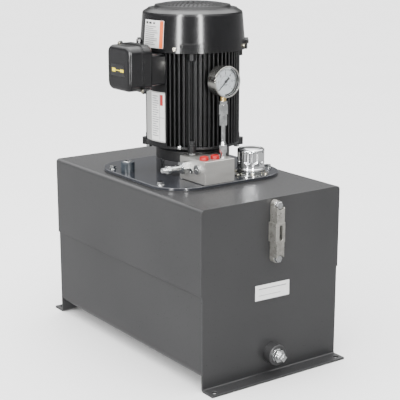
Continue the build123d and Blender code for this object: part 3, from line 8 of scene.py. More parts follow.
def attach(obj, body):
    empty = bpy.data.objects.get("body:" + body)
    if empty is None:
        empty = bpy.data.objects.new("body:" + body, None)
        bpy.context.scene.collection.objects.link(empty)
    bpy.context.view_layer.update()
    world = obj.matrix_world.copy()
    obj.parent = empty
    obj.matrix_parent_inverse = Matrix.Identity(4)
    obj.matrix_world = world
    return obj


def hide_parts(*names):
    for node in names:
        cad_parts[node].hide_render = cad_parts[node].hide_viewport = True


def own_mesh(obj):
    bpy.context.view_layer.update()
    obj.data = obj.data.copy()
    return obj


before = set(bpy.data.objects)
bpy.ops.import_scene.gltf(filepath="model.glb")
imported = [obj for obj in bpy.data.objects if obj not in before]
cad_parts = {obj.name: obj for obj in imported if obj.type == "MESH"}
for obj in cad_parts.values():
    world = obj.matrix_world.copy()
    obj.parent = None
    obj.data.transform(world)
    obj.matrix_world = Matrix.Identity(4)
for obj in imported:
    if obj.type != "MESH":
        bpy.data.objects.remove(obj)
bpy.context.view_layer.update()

# ------------------------------------------------------------------ places, in metres, row frame
MOTOR = Vector((0.0, -0.009, 0.0))
DIAL = Vector((-0.014, -0.151, 0.6215))
FILLER = Vector((0.079, -0.124, 0.0))
FRAME_RADIUS = 0.106
FRONT_Y = -0.305
BOX_X = -0.196
RIM_RADIUS, RIM_Z = 0.1187, 0.6805
SHOULDER_RADIUS, SHOULDER_Z = 0.112, 0.7585


# ================================================================== materials
def ramp_range(tree, source, low, high):
    """A Map Range node that takes a 0 to 1 value to the range low to high."""
    node = tree.nodes.new("ShaderNodeMapRange")
    node.inputs["From Min"].default_value = 0.3
    node.inputs["From Max"].default_value = 0.7
    node.inputs["To Min"].default_value = low
    node.inputs["To Max"].default_value = high
    tree.links.new(source, node.inputs["Value"])
    return node.outputs["Result"]


def noise(tree, scale, stretch=(1, 1, 1), detail=4.0):
    """Noise over the object's own coordinates, drawn out along an axis by a small stretch number."""
    place = tree.nodes.new("ShaderNodeTexCoord")
    mapping = tree.nodes.new("ShaderNodeMapping")
    mapping.inputs["Scale"].default_value = stretch
    texture = tree.nodes.new("ShaderNodeTexNoise")
    texture.inputs["Scale"].default_value = scale
    texture.inputs["Detail"].default_value = detail
    tree.links.new(place.outputs["Object"], mapping.inputs["Vector"])
    tree.links.new(mapping.outputs["Vector"], texture.inputs["Vector"])
    return texture.outputs["Fac"]


def blend_colour(tree, factor, first, second):
    """A Mix node between two colours or sockets."""
    node = tree.nodes.new("ShaderNodeMix")
    node.data_type = "RGBA"
    tree.links.new(factor, node.inputs["Factor"])
    for socket, value in ((node.inputs["A"], first), (node.inputs["B"], second)):
        if isinstance(value, tuple):
            socket.default_value = (*value, 1)
        else:
            tree.links.new(value, socket)
    return node.outputs["Result"]


def finish_material(
    name,
    dark,
    light,
    rough,
    metallic=0.0,
    mottle=9.0,
    grain=(900.0, 0.05),
    stretch=(1, 1, 1),
    edge=0.0008,
    edge_highlight_colour=None,
    **shader,
):
    """A procedural finish: mottled colour and roughness, fine grain in the bump, softened edges, and a
    painted highlight in noisy patches along the edges when an edge highlight colour is given.
    """
    material = bpy.data.materials.new(name)
    material.use_nodes = True
    tree = material.node_tree
    surface = tree.nodes["Principled BSDF"]
    broad = noise(tree, mottle, stretch)
    fine = noise(tree, grain[0], stretch, 3.0)
    colour = blend_colour(tree, ramp_range(tree, broad, 0.0, 1.0), dark, light)
    bevel = tree.nodes.new("ShaderNodeBevel")
    bevel.samples = 4
    bevel.inputs["Radius"].default_value = edge
    # Painted highlight: edges, found from the bevel normal, turn to a lighter colour in noisy patches,
    # standing in for light caught on rounded edges.
    if edge_highlight_colour:
        geometry = tree.nodes.new("ShaderNodeNewGeometry")
        meet = tree.nodes.new("ShaderNodeVectorMath")
        meet.operation = "DOT_PRODUCT"
        tree.links.new(bevel.outputs["Normal"], meet.inputs[0])
        tree.links.new(geometry.outputs["True Normal"], meet.inputs[1])
        edge_highlight_mask = tree.nodes.new("ShaderNodeMapRange")
        edge_highlight_mask.inputs["From Min"].default_value = 0.96
        edge_highlight_mask.inputs["From Max"].default_value = 0.78
        tree.links.new(meet.outputs["Value"], edge_highlight_mask.inputs["Value"])
        patchy_edge_highlight = tree.nodes.new("ShaderNodeMath")
        patchy_edge_highlight.operation = "MULTIPLY"
        tree.links.new(edge_highlight_mask.outputs["Result"], patchy_edge_highlight.inputs[0])
        tree.links.new(ramp_range(tree, noise(tree, 60.0), 0.0, 1.0), patchy_edge_highlight.inputs[1])
        colour = blend_colour(tree, patchy_edge_highlight.outputs["Value"], colour, edge_highlight_colour)
    bump = tree.nodes.new("ShaderNodeBump")
    bump.inputs["Strength"].default_value = grain[1]
    bump.inputs["Distance"].default_value = 0.0006
    tree.links.new(fine, bump.inputs["Height"])
    tree.links.new(bevel.outputs["Normal"], bump.inputs["Normal"])
    tree.links.new(colour, surface.inputs["Base Color"])
    tree.links.new(ramp_range(tree, fine, rough[0], rough[1]), surface.inputs["Roughness"])
    tree.links.new(bump.outputs["Normal"], surface.inputs["Normal"])
    surface.inputs["Metallic"].default_value = metallic
    for key, value in shader.items():
        surface.inputs[key.replace("_", " ")].default_value = value
    return material


def add_thread(material, direction, pitch):
    """Screw thread in a material's bump: even ridges along one axis."""
    tree = material.node_tree
    surface = tree.nodes["Principled BSDF"]
    before = surface.inputs["Normal"].links[0].from_socket
    place = tree.nodes.new("ShaderNodeTexCoord")
    wave = tree.nodes.new("ShaderNodeTexWave")
    wave.bands_direction = direction
    wave.inputs["Scale"].default_value = 2 * pi / (20 * pitch)
    ridges = tree.nodes.new("ShaderNodeBump")
    ridges.inputs["Strength"].default_value = 0.9
    ridges.inputs["Distance"].default_value = 0.0008
    tree.links.new(place.outputs["Object"], wave.inputs["Vector"])
    tree.links.new(wave.outputs["Fac"], ridges.inputs["Height"])
    tree.links.new(before, ridges.inputs["Normal"])
    tree.links.new(ridges.outputs["Normal"], surface.inputs["Normal"])
    return material


# The lighter edge colour paints a soft highlight along the tank's rounded edges.
PAINT = finish_material(
    "tank_paint", (0.028, 0.028, 0.029), (0.034, 0.034, 0.035), (0.27, 0.40),
    mottle=5.0, grain=(420.0, 0.10), edge=0.0016, edge_highlight_colour=(0.06, 0.06, 0.062),
)
# The pale edge colour paints a highlight along the cover plate's rounded top edge.
PLATE = finish_material(
    "plate_paint", (0.024, 0.026, 0.032), (0.030, 0.032, 0.039), (0.10, 0.16),
    mottle=6.0, grain=(300.0, 0.05), edge=0.0015, edge_highlight_colour=(0.25, 0.26, 0.28), Coat_Weight=0.6,
    Coat_Roughness=0.06,
)
BLUE_GREY = finish_material(
    "coupling_paint", (0.022, 0.030, 0.038), (0.030, 0.040, 0.050), (0.22, 0.34), grain=(420.0, 0.08),
)
BLACK = finish_material(
    "black_paint", (0.006, 0.006, 0.0065), (0.010, 0.010, 0.011), (0.16, 0.19),
    mottle=12.0, grain=(90.0, 0.006), edge=0.0012,
)
CAST_BLACK = finish_material(
    "cast_black", (0.004, 0.004, 0.0045), (0.008, 0.008, 0.009), (0.30, 0.46),
    mottle=30.0, grain=(260.0, 0.22), edge=0.0012, Specular_IOR_Level=0.34,
)
RUBBER = finish_material("rubber", (0.012, 0.012, 0.012), (0.02, 0.02, 0.02), (0.6, 0.75))
# The near-white edge colour paints highlights along the zinc parts' edges.
ZINC = finish_material(
    "zinc", (0.42, 0.43, 0.43), (0.70, 0.71, 0.71), (0.08, 0.18), 1.0, mottle=70.0, edge=0.0005,
    edge_highlight_colour=(0.85, 0.86, 0.86),
)
YELLOW_ZINC = finish_material(
    "yellow_zinc", (0.46, 0.42, 0.31), (0.66, 0.63, 0.54), (0.16, 0.30), 1.0, mottle=50.0, edge=0.0005,
)
# The pale edge colour paints highlights along the level gauge housing's edges.
GAUGE_CAST = finish_material(
    "gauge_casting", (0.24, 0.235, 0.215), (0.40, 0.39, 0.36), (0.26, 0.40), 0.7, mottle=90.0,
    grain=(320.0, 0.12), edge=0.0008, edge_highlight_colour=(0.70, 0.69, 0.64),
)
THREADED = add_thread(finish_material(
    "zinc_thread", (0.50, 0.51, 0.52), (0.70, 0.71, 0.72), (0.22, 0.36), 1.0, mottle=70.0, edge=0.0003,
), "X", 0.0015)
STEEL = finish_material(
    "steel", (0.32, 0.33, 0.34), (0.46, 0.47, 0.48), (0.26, 0.42), 1.0, mottle=60.0, edge=0.0005,
)
STAINLESS = finish_material(
    "stainless", (0.54, 0.53, 0.50), (0.66, 0.65, 0.62), (0.20, 0.28), 1.0, mottle=30.0, edge=0.0004,
)
CHROME = finish_material(
    "chrome", (0.76, 0.77, 0.79), (0.84, 0.85, 0.86), (0.05, 0.09), 1.0, grain=(600.0, 0.02), edge=0.0006,
)
ALUMINIUM = finish_material(
    "aluminium", (0.50, 0.49, 0.47), (0.62, 0.61, 0.58), (0.34, 0.48), 0.85,
    mottle=24.0, grain=(520.0, 0.10), stretch=(0.08, 1, 1), edge=0.0007,
)
TURNED_IRON = finish_material(
    "turned_iron", (0.07, 0.07, 0.075), (0.13, 0.13, 0.135), (0.16, 0.26), 0.9,
    mottle=20.0, grain=(700.0, 0.12), stretch=(0.06, 0.06, 1), edge=0.0007,
)
CAST_IRON = finish_material(
    "cast_iron", (0.06, 0.06, 0.06), (0.11, 0.105, 0.1), (0.5, 0.7), mottle=40.0, grain=(240.0, 0.3),
)
RED = finish_material(
    "red_plastic", (0.34, 0.001, 0.003), (0.48, 0.003, 0.004), (0.30, 0.42), mottle=90.0, edge=0.0006,
    Subsurface_Weight=0.08, Subsurface_Radius=(0.002, 0.0006, 0.0004), Specular_IOR_Level=0.35,
)
FAN_PLASTIC = finish_material("fan_plastic", (0.02, 0.02, 0.022), (0.03, 0.03, 0.032), (0.4, 0.5))
ORANGE = finish_material("polyurethane", (0.50, 0.12, 0.03), (0.6, 0.17, 0.05), (0.35, 0.45))
BRASS = finish_material(
    "brass", (0.62, 0.43, 0.16), (0.74, 0.55, 0.25), (0.2, 0.32), 1.0, mottle=60.0, edge=0.0004,
)
COPPER = finish_material(
    "copper", (0.34, 0.12, 0.05), (0.5, 0.2, 0.09), (0.3, 0.42), 0.6, mottle=300.0, stretch=(1, 1, 0.3),
)
DIAL_WHITE = finish_material(
    "dial_white", (0.42, 0.44, 0.46), (0.50, 0.52, 0.54), (0.4, 0.5), mottle=40.0,
)
# Black ink for print and the pointer, also used for a painted shadow band on the gauge dial.
INK_AND_SHADOW = finish_material(
    "ink", (0.008, 0.008, 0.008), (0.014, 0.014, 0.014), (0.4, 0.5), mottle=200.0,
)
LABEL_WHITE = finish_material(
    "label_white", (0.70, 0.70, 0.69), (0.78, 0.78, 0.77), (0.3, 0.4), mottle=40.0,
)
LABEL_ORANGE = finish_material(
    "label_orange", (0.72, 0.10, 0.008), (0.82, 0.14, 0.012), (0.3, 0.4), mottle=60.0,
)
LABEL_YELLOW = finish_material(
    "label_yellow", (0.72, 0.56, 0.0), (0.85, 0.68, 0.01), (0.3, 0.4), mottle=60.0,
)
LABEL_BLACK = finish_material(
    "label_black", (0.012, 0.012, 0.013), (0.02, 0.02, 0.021), (0.3, 0.4), mottle=60.0,
)
NAMEPLATE = finish_material(
    "nameplate_metal", (0.42, 0.42, 0.41), (0.56, 0.56, 0.55), (0.30, 0.42), 0.55, mottle=50.0,
    grain=(500.0, 0.08), stretch=(1, 1, 0.1), edge=0.0003,
)
LABEL_GREY = finish_material(
    "label_grey", (0.20, 0.20, 0.21), (0.28, 0.28, 0.29), (0.35, 0.45), mottle=60.0,
)
LABEL_RED = finish_material(
    "label_red", (0.36, 0.004, 0.006), (0.46, 0.008, 0.01), (0.3, 0.4), mottle=60.0,
)
GLASS = finish_material(
    "glass", (0.96, 0.98, 0.98), (1.0, 1.0, 1.0), (0.01, 0.03), grain=(40.0, 0.004), edge=0.0002,
    Transmission_Weight=1.0, IOR=1.2,
)

FINISH = {
    PAINT: "upper_wrapper lower_wrapper front_end_plate rear_end_plate drain_coupling",
    PLATE: "cover_plate",
    BLUE_GREY: "return_coupling",
    BLACK: "fan_cover conduit_box conduit_box_cover",
    CAST_BLACK: "motor_frame drive_end_bell fan_end_bell",
    RUBBER: "cover_gasket filler_seal",
    ZINC: "cover_bolts drain_bushing drain_plug level_gauge_bolts bell_bolts"
    " relief_body relief_locknut gauge_adapter gauge_stem return_plug port_plugs filler_flange",
    YELLOW_ZINC: "small_screws",
    STEEL: "cap_screws motor_shaft coupling_hubs drive_gear driven_gear relief_poppet relief_spring"
    " relief_button oil_tubes motor_bearings stator_core rotor_core filler_strainer suction_strainer",
    THREADED: "relief_adjuster",
    GAUGE_CAST: "level_gauge_housing",
    STAINLESS: "gauge_case",
    CHROME: "filler_cap",
    ALUMINIUM: "manifold_block",
    TURNED_IRON: "pump_adapter",
    CAST_IRON: "pump_body pump_cover",
    RED: "dust_plugs",
    FAN_PLASTIC: "cooling_fan",
    ORANGE: "coupling_spider",
    BRASS: "gauge_socket gauge_sector",
    COPPER: "stator_windings",
    DIAL_WHITE: "gauge_dial",
    INK_AND_SHADOW: "gauge_pointer",
    GLASS: "gauge_lens level_gauge_tube",
}
for finish, names in FINISH.items():
    for node_name in names.split():
        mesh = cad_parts[node_name].data
        mesh.materials.clear()
        mesh.materials.append(finish)


# ================================================================== pieces
def piece(name, mesh, material, body="unit"):
    """Links a mesh as a named piece with a material, riding on a body of the frame."""
    made = bpy.data.objects.new(name, mesh)
    bpy.context.scene.collection.objects.link(made)
    mesh.materials.append(material)
    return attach(made, body)


def mesh_from(name, points, faces, smooth=False):
    """A mesh from corner points and faces."""
    mesh = bpy.data.meshes.new(name)
    mesh.from_pydata([tuple(p) for p in points], [], faces)
    mesh.update()
    if smooth:
        mesh.shade_smooth()
    return mesh


def turned(name, profile, origin, axis, steps=64, ripple=None):
    """A turned shape: a profile of radius and height, spun about an axis from its origin."""
    turn = Vector((0, 0, 1)).rotation_difference(Vector(axis)).to_matrix()
    points = []
    for radius, height in profile:
        for step in range(steps):
            angle = 2 * pi * step / steps
            grown = radius + (ripple(angle, radius, height) if ripple else 0.0)
            points.append(Vector(origin) + turn @ Vector((grown * cos(angle), grown * sin(angle), height)))
    faces = []
    for row in range(len(profile) - 1):
        for step in range(steps):
            after = (step + 1) % steps
            first, second = row * steps, (row + 1) * steps
            faces.append((first + step, first + after, second + after, second + step))
    return mesh_from(name, points, faces, smooth=True)


def on_frame(angle, z, lift):
    """A point on the motor's plain side, lifted off it."""
    radius = FRAME_RADIUS + lift
    return MOTOR + Vector((radius * cos(radians(angle)), radius * sin(radians(angle)), z))


def on_cover(angle, z, lift):
    """A point on the tapered side of the fan cover, lifted off it."""
    slope = (RIM_RADIUS - SHOULDER_RADIUS) / (SHOULDER_Z - RIM_Z)
    radius = RIM_RADIUS - slope * (z - RIM_Z) + lift
    return MOTOR + Vector((radius * cos(radians(angle)), radius * sin(radians(angle)), z))


def on_front(x, z, lift):
    """A point on the tank's end with the level gauge, turned a little clockwise, lifted off it."""
    lean = 0.018 * x
    return Vector((x, FRONT_Y - lift, z - lean))


def on_box(y, z, lift):
    """A point on the flat face of the conduit box, lifted off it."""
    return Vector((BOX_X - lift, y, z))


def plates(name, surface, areas, low, high, steps=12):
    """Thin plates laid on a surface, each given by its two ends along and across, at two lifts."""
    points, faces = [], []
    for start, end, bottom, top in areas:
        base = len(points)
        for step in range(steps + 1):
            along = start + (end - start) * step / steps
            for lift in (low, high):
                for z in (bottom, top):
                    points.append(surface(along, z, lift))
        for step in range(steps):
            a, b = base + 4 * step, base + 4 * (step + 1)
            faces += [(a, a + 1, b + 1, b), (a + 2, b + 2, b + 3, a + 3)]
            faces += [(a, b, b + 2, a + 2), (a + 1, a + 3, b + 3, b + 1)]
        last = base + 4 * steps
        faces += [(base, base + 2, base + 3, base + 1), (last, last + 1, last + 3, last + 2)]
    return mesh_from(name, points, faces)


def text_bars(start, end, low, high, pitch, height):
    """Rows of plain bars that stand for small print, of uneven but fixed lengths."""
    bars, row, z = [], 0, high
    while z - height > low:
        share = 0.62 + 0.36 * abs(sin(2.3 * row + 0.7))
        bars.append((start, start + (end - start) * share, z - height, z))
        z -= pitch
        row += 1
    return bars


# ------------------------------------------------------------------ gauge dial
def dial_print(name, strokes, y):
    """Flat marks on the dial: each stroke is a list of corner points in the dial's plane."""
    points, faces = [], []
    for stroke in strokes:
        faces.append(tuple(range(len(points), len(points) + len(stroke))))
        points += [(DIAL.x + u, y, DIAL.z + w) for u, w in stroke]
    return mesh_from(name, points, faces)


def dial_arc(inner, outer, start, end, steps=40):
    """Corner points of an arc band, in degrees from the dial's right."""
    angles = [radians(start + (end - start) * i / steps) for i in range(steps + 1)]
    quads = []
    for a, b in zip(angles, angles[1:]):
        quads.append([
            (inner * cos(a), inner * sin(a)), (outer * cos(a), outer * sin(a)),
            (outer * cos(b), outer * sin(b)), (inner * cos(b), inner * sin(b)),
        ])
    return quads


def dial_tick(angle, inner, outer, width):
    """A radial tick."""
    along = Vector((cos(radians(angle)), sin(radians(angle))))
    side = Vector((-along.y, along.x)) * width / 2
    corners = (along * inner - side, along * outer - side, along * outer + side, along * inner + side)
    return [tuple(corner) for corner in corners]


PRINT_Y = DIAL.y - 0.00006
DIAL_ZERO, DIAL_FULL = 225, -45
SMALL_STEP, SMALL_STEPS = 4.5, 60
NUMBER_STEP, NUMBER_RADIUS = 45, 0.0178
OUTER_SCALE, INNER_SCALE = 0.0264, 0.0122
dial_marks_and_shadow = []
for index in range(SMALL_STEPS + 1):
    long = index % 10 == 0
    at = DIAL_ZERO - SMALL_STEP * index
    dial_marks_and_shadow.append(dial_tick(at, 0.0218 if long else 0.0238, OUTER_SCALE, 0.0011 if long else 0.0005))
    if index % 5 == 0:
        dial_marks_and_shadow.append(dial_tick(at, INNER_SCALE, 0.0136, 0.0006))
dial_marks_and_shadow += dial_arc(OUTER_SCALE, 0.0270, DIAL_ZERO, DIAL_FULL)
dial_marks_and_shadow += dial_arc(0.0117, INNER_SCALE, DIAL_ZERO, DIAL_FULL)
# Painted shadow: a dark band in ink along the right of the dial, where the bezel shades it.
dial_marks_and_shadow += dial_arc(0.0274, 0.0310, 62, -92)
for row, half in ((0.0, 0.0062), (1.0, 0.0040)):
    low = -0.0068 - 0.0026 * row
    dial_marks_and_shadow.append([(-half, low), (half, low), (half, low + 0.0010), (-half, low + 0.0010)])
piece("gauge_dial_marks_and_shadow", dial_print("gauge_dial_marks_and_shadow", dial_marks_and_shadow, PRINT_Y), INK_AND_SHADOW)
for index in range(7):
    angle = radians(DIAL_ZERO - NUMBER_STEP * index)
    text = bpy.data.curves.new(f"gauge_number_{index}", "FONT")
    text.body = str(index)
    text.size = 0.0076
    text.offset = 0.00018
    text.align_x, text.align_y = "CENTER", "CENTER"
    text.materials.append(INK_AND_SHADOW)
    number = bpy.data.objects.new(f"gauge_number_{index}", text)
    bpy.context.scene.collection.objects.link(number)
    number.matrix_world = Matrix.Translation(
        (DIAL.x + NUMBER_RADIUS * cos(angle), PRINT_Y, DIAL.z + NUMBER_RADIUS * sin(angle))
    ) @ Matrix.Rotation(pi / 2, 4, "X")
    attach(number, "unit")


# ------------------------------------------------------------------ gauge hand and port plugs
BLADE_Y = DIAL.y - 0.00275
blade_way = Vector((cos(radians(DIAL_ZERO)), sin(radians(DIAL_ZERO))))
blade_side = Vector((-blade_way.y, blade_way.x))
blade = [
    tuple(blade_way * along + blade_side * across)
    for along, across in (
        (0.0262, 0.00035), (0.002, 0.0012), (-0.002, 0.0024), (-0.0118, 0.0024),
        (-0.0118, -0.0024), (-0.002, -0.0024), (0.002, -0.0012), (0.0262, -0.00035),
    )
]
blade_mesh = dial_print("gauge_pointer_blade", [blade], BLADE_Y)
piece("gauge_pointer_blade", blade_mesh, INK_AND_SHADOW, "pointer")

PORT_XS, PORT_Y = (-0.0645, -0.0355), -0.144
plug_cap_profile = [
    (0.0098, 0.4561), (0.0096, 0.4600), (0.0092, 0.4612), (0.0083, 0.4618),
    (0.0073, 0.4615), (0.0064, 0.4602), (0.0001, 0.4600),
]
for index, plug_x in enumerate(PORT_XS):
    title = f"dust_plug_cap_{index}"
    piece(title, turned(title, plug_cap_profile, (plug_x, PORT_Y, 0.0), (0, 0, 1)), RED)


# ------------------------------------------------------------------ labels, with no lettering
LABEL_LIFT, MARK_LIFT = 0.0005, 0.00008


def label(name, surface, area, material, marks):
    """A label plate, and its marks in other inks, each a little above the last."""
    piece(name, plates(name, surface, [area], 0.0001, LABEL_LIFT, 24), material)
    for count, (ink, bars) in enumerate(marks):
        title = f"{name}_mark_{count}"
        low = LABEL_LIFT + MARK_LIFT * count
        piece(title, plates(title, surface, bars, low, low + MARK_LIFT), ink)


label(
    "caution_label", on_cover, (170.4, 202.4, 0.689, 0.748), LABEL_WHITE,
    [
        (LABEL_ORANGE, [(197.0, 201.8, 0.6895, 0.7475)]),
        (INK_AND_SHADOW, [
            (173.0, 177.5, 0.7395, 0.7445), (179.5, 184.0, 0.740, 0.744), (186.5, 190.0, 0.7405, 0.7435),
        ]),
        (LABEL_GREY, text_bars(172.5, 195.0, 0.692, 0.735, 0.0042, 0.0016)),
    ],
)
label(
    "nameplate", on_frame, (160.0, 200.5, 0.480, 0.592), NAMEPLATE,
    [
        (LABEL_WHITE, [(176.5, 199.8, 0.4825, 0.5895)]),
        (LABEL_RED, [(192.5, 197.0, 0.562, 0.586)]),
        (LABEL_GREY, text_bars(178.5, 190.5, 0.490, 0.583, 0.0052, 0.0019)),
        (LABEL_GREY, [(191.6, 192.1, 0.486, 0.586), (177.2, 199.2, 0.5345, 0.5355)]),
    ],
)
label(
    "front_label", on_front, (-0.0465, 0.0465, 0.1725, 0.2065), LABEL_WHITE,
    [(LABEL_GREY, [(-0.0375, 0.0375, 0.1965, 0.1985), (-0.0375, 0.022, 0.1825, 0.1835)])],
)
label(
    "box_label", on_box, (-0.036, 0.018, 0.632, 0.657), LABEL_BLACK,
    [
        (LABEL_YELLOW, [
            (0.0005, 0.0145, 0.6405, 0.6485), (-0.019, 0.0005, 0.6435, 0.6455),
            (-0.0325, -0.019, 0.6415, 0.6475),
        ]),
    ],
)


# ------------------------------------------------------------------ filler cap
CAP_LOW, CAP_TOP, CAP_RADIUS = 0.413, 0.461, 0.0305
FLUTES, FLUTE_HALF, FLUTE_DEPTH = 10, 0.0062, 0.0024
FLUTE_LOW, FLUTE_HIGH = 0.4355, 0.4515


def smooth(value):
    """Smooth step from 0 to 1."""
    value = min(1.0, max(0.0, value))
    return value * value * (3 - 2 * value)


def cap_flute(angle, radius, height):
    """How far the cap's side moves in or out: round-ended flutes with a raised lip."""
    if radius < CAP_RADIUS - 0.003 or height < 0.426:
        return 0.0
    pitch = 2 * pi / FLUTES
    across = ((angle + pitch / 2) % pitch - pitch / 2) * CAP_RADIUS
    beyond = max(FLUTE_LOW - height, 0.0, height - FLUTE_HIGH)
    apart = hypot(across, beyond)
    hollow = smooth((FLUTE_HALF - apart) / 0.0024)
    lip = smooth(1 - abs(apart - FLUTE_HALF - 0.0009) / 0.0012)
    return 0.0007 * lip - FLUTE_DEPTH * hollow


cap_profile = [
    (0.0005, 0.458), (0.027, 0.458), (0.027, CAP_LOW), (0.0317, CAP_LOW), (0.0327, CAP_LOW + 0.001),
    (0.0327, CAP_LOW + 0.003), (0.0317, CAP_LOW + 0.0042), (0.0309, CAP_LOW + 0.0052),
    (CAP_RADIUS, CAP_LOW + 0.007), (CAP_RADIUS, 0.4245),
]
cap_profile += [(CAP_RADIUS, 0.426 + 0.001 * row) for row in range(31)]
cap_profile += [
    (CAP_RADIUS - 0.004 * (1 - cos(radians(turn))), 0.457 + 0.004 * sin(radians(turn)))
    for turn in range(15, 91, 15)
]
cap_profile += [
    (0.0245, CAP_TOP), (0.0235, CAP_TOP - 0.0008), (0.0215, CAP_TOP - 0.0008), (0.0205, CAP_TOP),
    (0.0005, CAP_TOP),
]
cap = piece(
    "filler_cap_shell",
    turned("filler_cap_shell", cap_profile, FILLER, (0, 0, 1), 260, cap_flute),
    CHROME, "breather_cap",
)
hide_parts("filler_cap")
skirt_profile = [(0.0225, 0.398), (0.0249, 0.398), (0.0249, 0.414), (0.0225, 0.414), (0.0225, 0.398)]
piece(
    "filler_cap_skirt", turned("filler_cap_skirt", skirt_profile, FILLER, (0, 0, 1)), CHROME,
    "breather_cap",
)

# ------------------------------------------------------------------ plug in the drive end bell's rim
PLUG_TURN, RIM_OUTSIDE, PLUG_Z = radians(219), 0.1064, 0.4722
plug_way = Vector((cos(PLUG_TURN), sin(PLUG_TURN), 0))
plug_profile = [
    (0.0001, 0.0), (0.0052, 0.0), (0.0052, 0.0012), (0.0044, 0.0014), (0.0044, 0.0040),
    (0.0036, 0.0048), (0.0001, 0.0048),
]
piece(
    "bell_plug",
    turned("bell_plug", plug_profile, MOTOR + plug_way * RIM_OUTSIDE + Vector((0, 0, PLUG_Z)), plug_way, 6),
    ZINC,
)


# ------------------------------------------------------------------ relief valve spring, in two halves
VALVE = Vector((0.0, -0.097, 0.432))
COIL_RADIUS, WIRE_RADIUS, HALF_TURNS = 0.0039, 0.00065, 4
SPRING_LOW, SPRING_MIDDLE, SPRING_HIGH = -0.0910, -0.0720, -0.0530
SCREW_TRAVEL, POPPET_TRAVEL = 0.006, 0.003


def coil(name, start_x, end_x, steps=24, ring=12):
    """A stretch of the coil spring along X: round wire about the valve's axis, closed at both ends."""
    pitch = (end_x - start_x) / HALF_TURNS
    points, faces = [], []
    for step in range(HALF_TURNS * steps + 1):
        angle = 2 * pi * step / steps
        out = Vector((0, cos(angle), sin(angle)))
        way = Vector((pitch / (2 * pi), -COIL_RADIUS * sin(angle), COIL_RADIUS * cos(angle))).normalized()
        side = way.cross(out)
        centre = VALVE + out * COIL_RADIUS + Vector((start_x + pitch * step / steps, 0, 0))
        for spot in range(ring):
            turn = 2 * pi * spot / ring
            points.append(centre + (out * cos(turn) + side * sin(turn)) * WIRE_RADIUS)
    for step in range(HALF_TURNS * steps):
        for spot in range(ring):
            after = (spot + 1) % ring
            first, second = step * ring, (step + 1) * ring
            faces.append((first + spot, first + after, second + after, second + spot))
    faces += [tuple(range(ring))[::-1], tuple(range(len(points) - ring, len(points)))]
    return mesh_from(name, points, faces, smooth=True)


for title, low_x, high_x, body, joint, fixed_x, travel in (
    (
        "relief_spring_seat_half", SPRING_LOW, SPRING_MIDDLE,
        "spring_seat", "poppet_lift", SPRING_LOW, POPPET_TRAVEL,
    ),
    (
        "relief_spring_poppet_half", SPRING_MIDDLE, SPRING_HIGH,
        "poppet", "adjuster_travel", SPRING_HIGH, SCREW_TRAVEL,
    ),
):
    half = piece(title, coil(title, low_x, high_x), STEEL, body)
    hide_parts("relief_spring")
    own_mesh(half)


# ================================================================== stage, light and camera
def floor():
    """A wide pale floor."""
    half = 30.0
    corners = [(-half, -half, 0), (half, -half, 0), (half, half, 0), (-half, half, 0)]
    mesh = mesh_from("floor", corners, [(0, 1, 2, 3)])
    made = bpy.data.objects.new("floor", mesh)
    bpy.context.scene.collection.objects.link(made)
    mesh.materials.append(finish_material(
        "floor", (0.93, 0.93, 0.93), (0.95, 0.95, 0.95), (0.55, 0.65), mottle=2.0, grain=(80.0, 0.02),
    ))
    made.visible_glossy = False


def soft_light(name, place, target, width, height, power, diffuse=True, glossy=True):
    """A rectangular soft light aimed at a point, which may serve matt or shiny surfaces alone."""
    data = bpy.data.lights.new(name, "AREA")
    data.shape = "RECTANGLE"
    data.size, data.size_y, data.energy = width, height, power
    lamp = bpy.data.objects.new(name, data)
    bpy.context.scene.collection.objects.link(lamp)
    lamp.location = place
    lamp.rotation_mode = "QUATERNION"
    lamp.rotation_quaternion = (Vector(target) - Vector(place)).to_track_quat("-Z", "Y")
    lamp.visible_diffuse, lamp.visible_glossy = diffuse, glossy


BACKDROP = 0.42  # share of the surround's strength


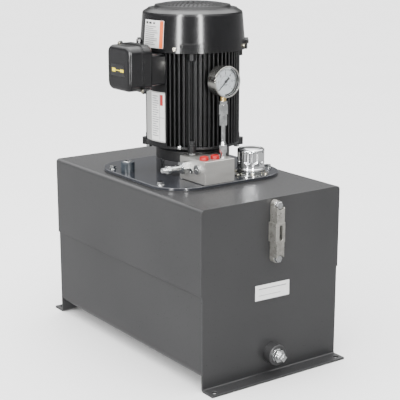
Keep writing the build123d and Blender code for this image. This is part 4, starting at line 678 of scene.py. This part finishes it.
def studio_world(stops, strength):
    """A grey surround that brightens with height, and a plain pale backdrop where it is seen directly."""
    world = bpy.data.worlds.new("studio")
    world.use_nodes = True
    tree = world.node_tree
    place = tree.nodes.new("ShaderNodeTexCoord")
    split = tree.nodes.new("ShaderNodeSeparateXYZ")
    height = tree.nodes.new("ShaderNodeMapRange")
    height.inputs["From Min"].default_value = -1.0
    ramp = tree.nodes.new("ShaderNodeValToRGB")
    tree.links.new(place.outputs["Generated"], split.inputs["Vector"])
    tree.links.new(split.outputs["Z"], height.inputs["Value"])
    tree.links.new(height.outputs["Result"], ramp.inputs["Fac"])
    for place_on_ramp, _ in stops[2:]:
        ramp.color_ramp.elements.new(place_on_ramp)
    for element, (place_on_ramp, grey) in zip(ramp.color_ramp.elements, sorted(stops)):
        element.position = place_on_ramp
        element.color = (grey, grey, grey, 1)
    seen = tree.nodes.new("ShaderNodeLightPath")
    pale = tree.nodes.new("ShaderNodeMix")
    pale.data_type = "RGBA"
    pale.inputs["B"].default_value = (BACKDROP, BACKDROP, BACKDROP, 1)
    tree.links.new(seen.outputs["Is Camera Ray"], pale.inputs["Factor"])
    tree.links.new(ramp.outputs["Color"], pale.inputs["A"])
    tree.links.new(pale.outputs["Result"], tree.nodes["Background"].inputs["Color"])
    tree.nodes["Background"].inputs["Strength"].default_value = strength
    bpy.context.scene.world = world


floor()
studio_world([(0.0, 0.16), (0.46, 0.12), (0.52, 0.05), (0.66, 0.05), (0.82, 0.6), (1.0, 1.0)], 5.4)
middle = (0.0, 0.0, 0.45)
soft_light("left_strip", (-3.0, -1.45, 1.5), middle, 0.42, 2.6, 190, diffuse=False)
soft_light("front_strip", (-1.0, -3.2, 1.5), middle, 0.30, 2.6, 190, diffuse=False)
soft_light("left_fill", (-3.2, 0.6, 1.4), middle, 2.2, 2.0, 90, glossy=False)
soft_light("top_box", (0.2, 0.2, 3.2), middle, 2.0, 2.0, 30)

AZIMUTH, ELEVATION = radians(-35.38), radians(14.25)
camera = bpy.data.objects.new("camera", bpy.data.cameras.new("camera"))
bpy.context.scene.collection.objects.link(camera)
camera.location = (-1.4346, -2.0579, 0.9629)
back = Vector((sin(AZIMUTH) * cos(ELEVATION), -cos(AZIMUTH) * cos(ELEVATION), sin(ELEVATION)))
camera.rotation_mode = "QUATERNION"
camera.rotation_quaternion = (-back).to_track_quat("-Z", "Y")
camera.data.sensor_width = 36
camera.data.lens = 100.08
camera.data.clip_end = 100
bpy.context.scene.camera = camera
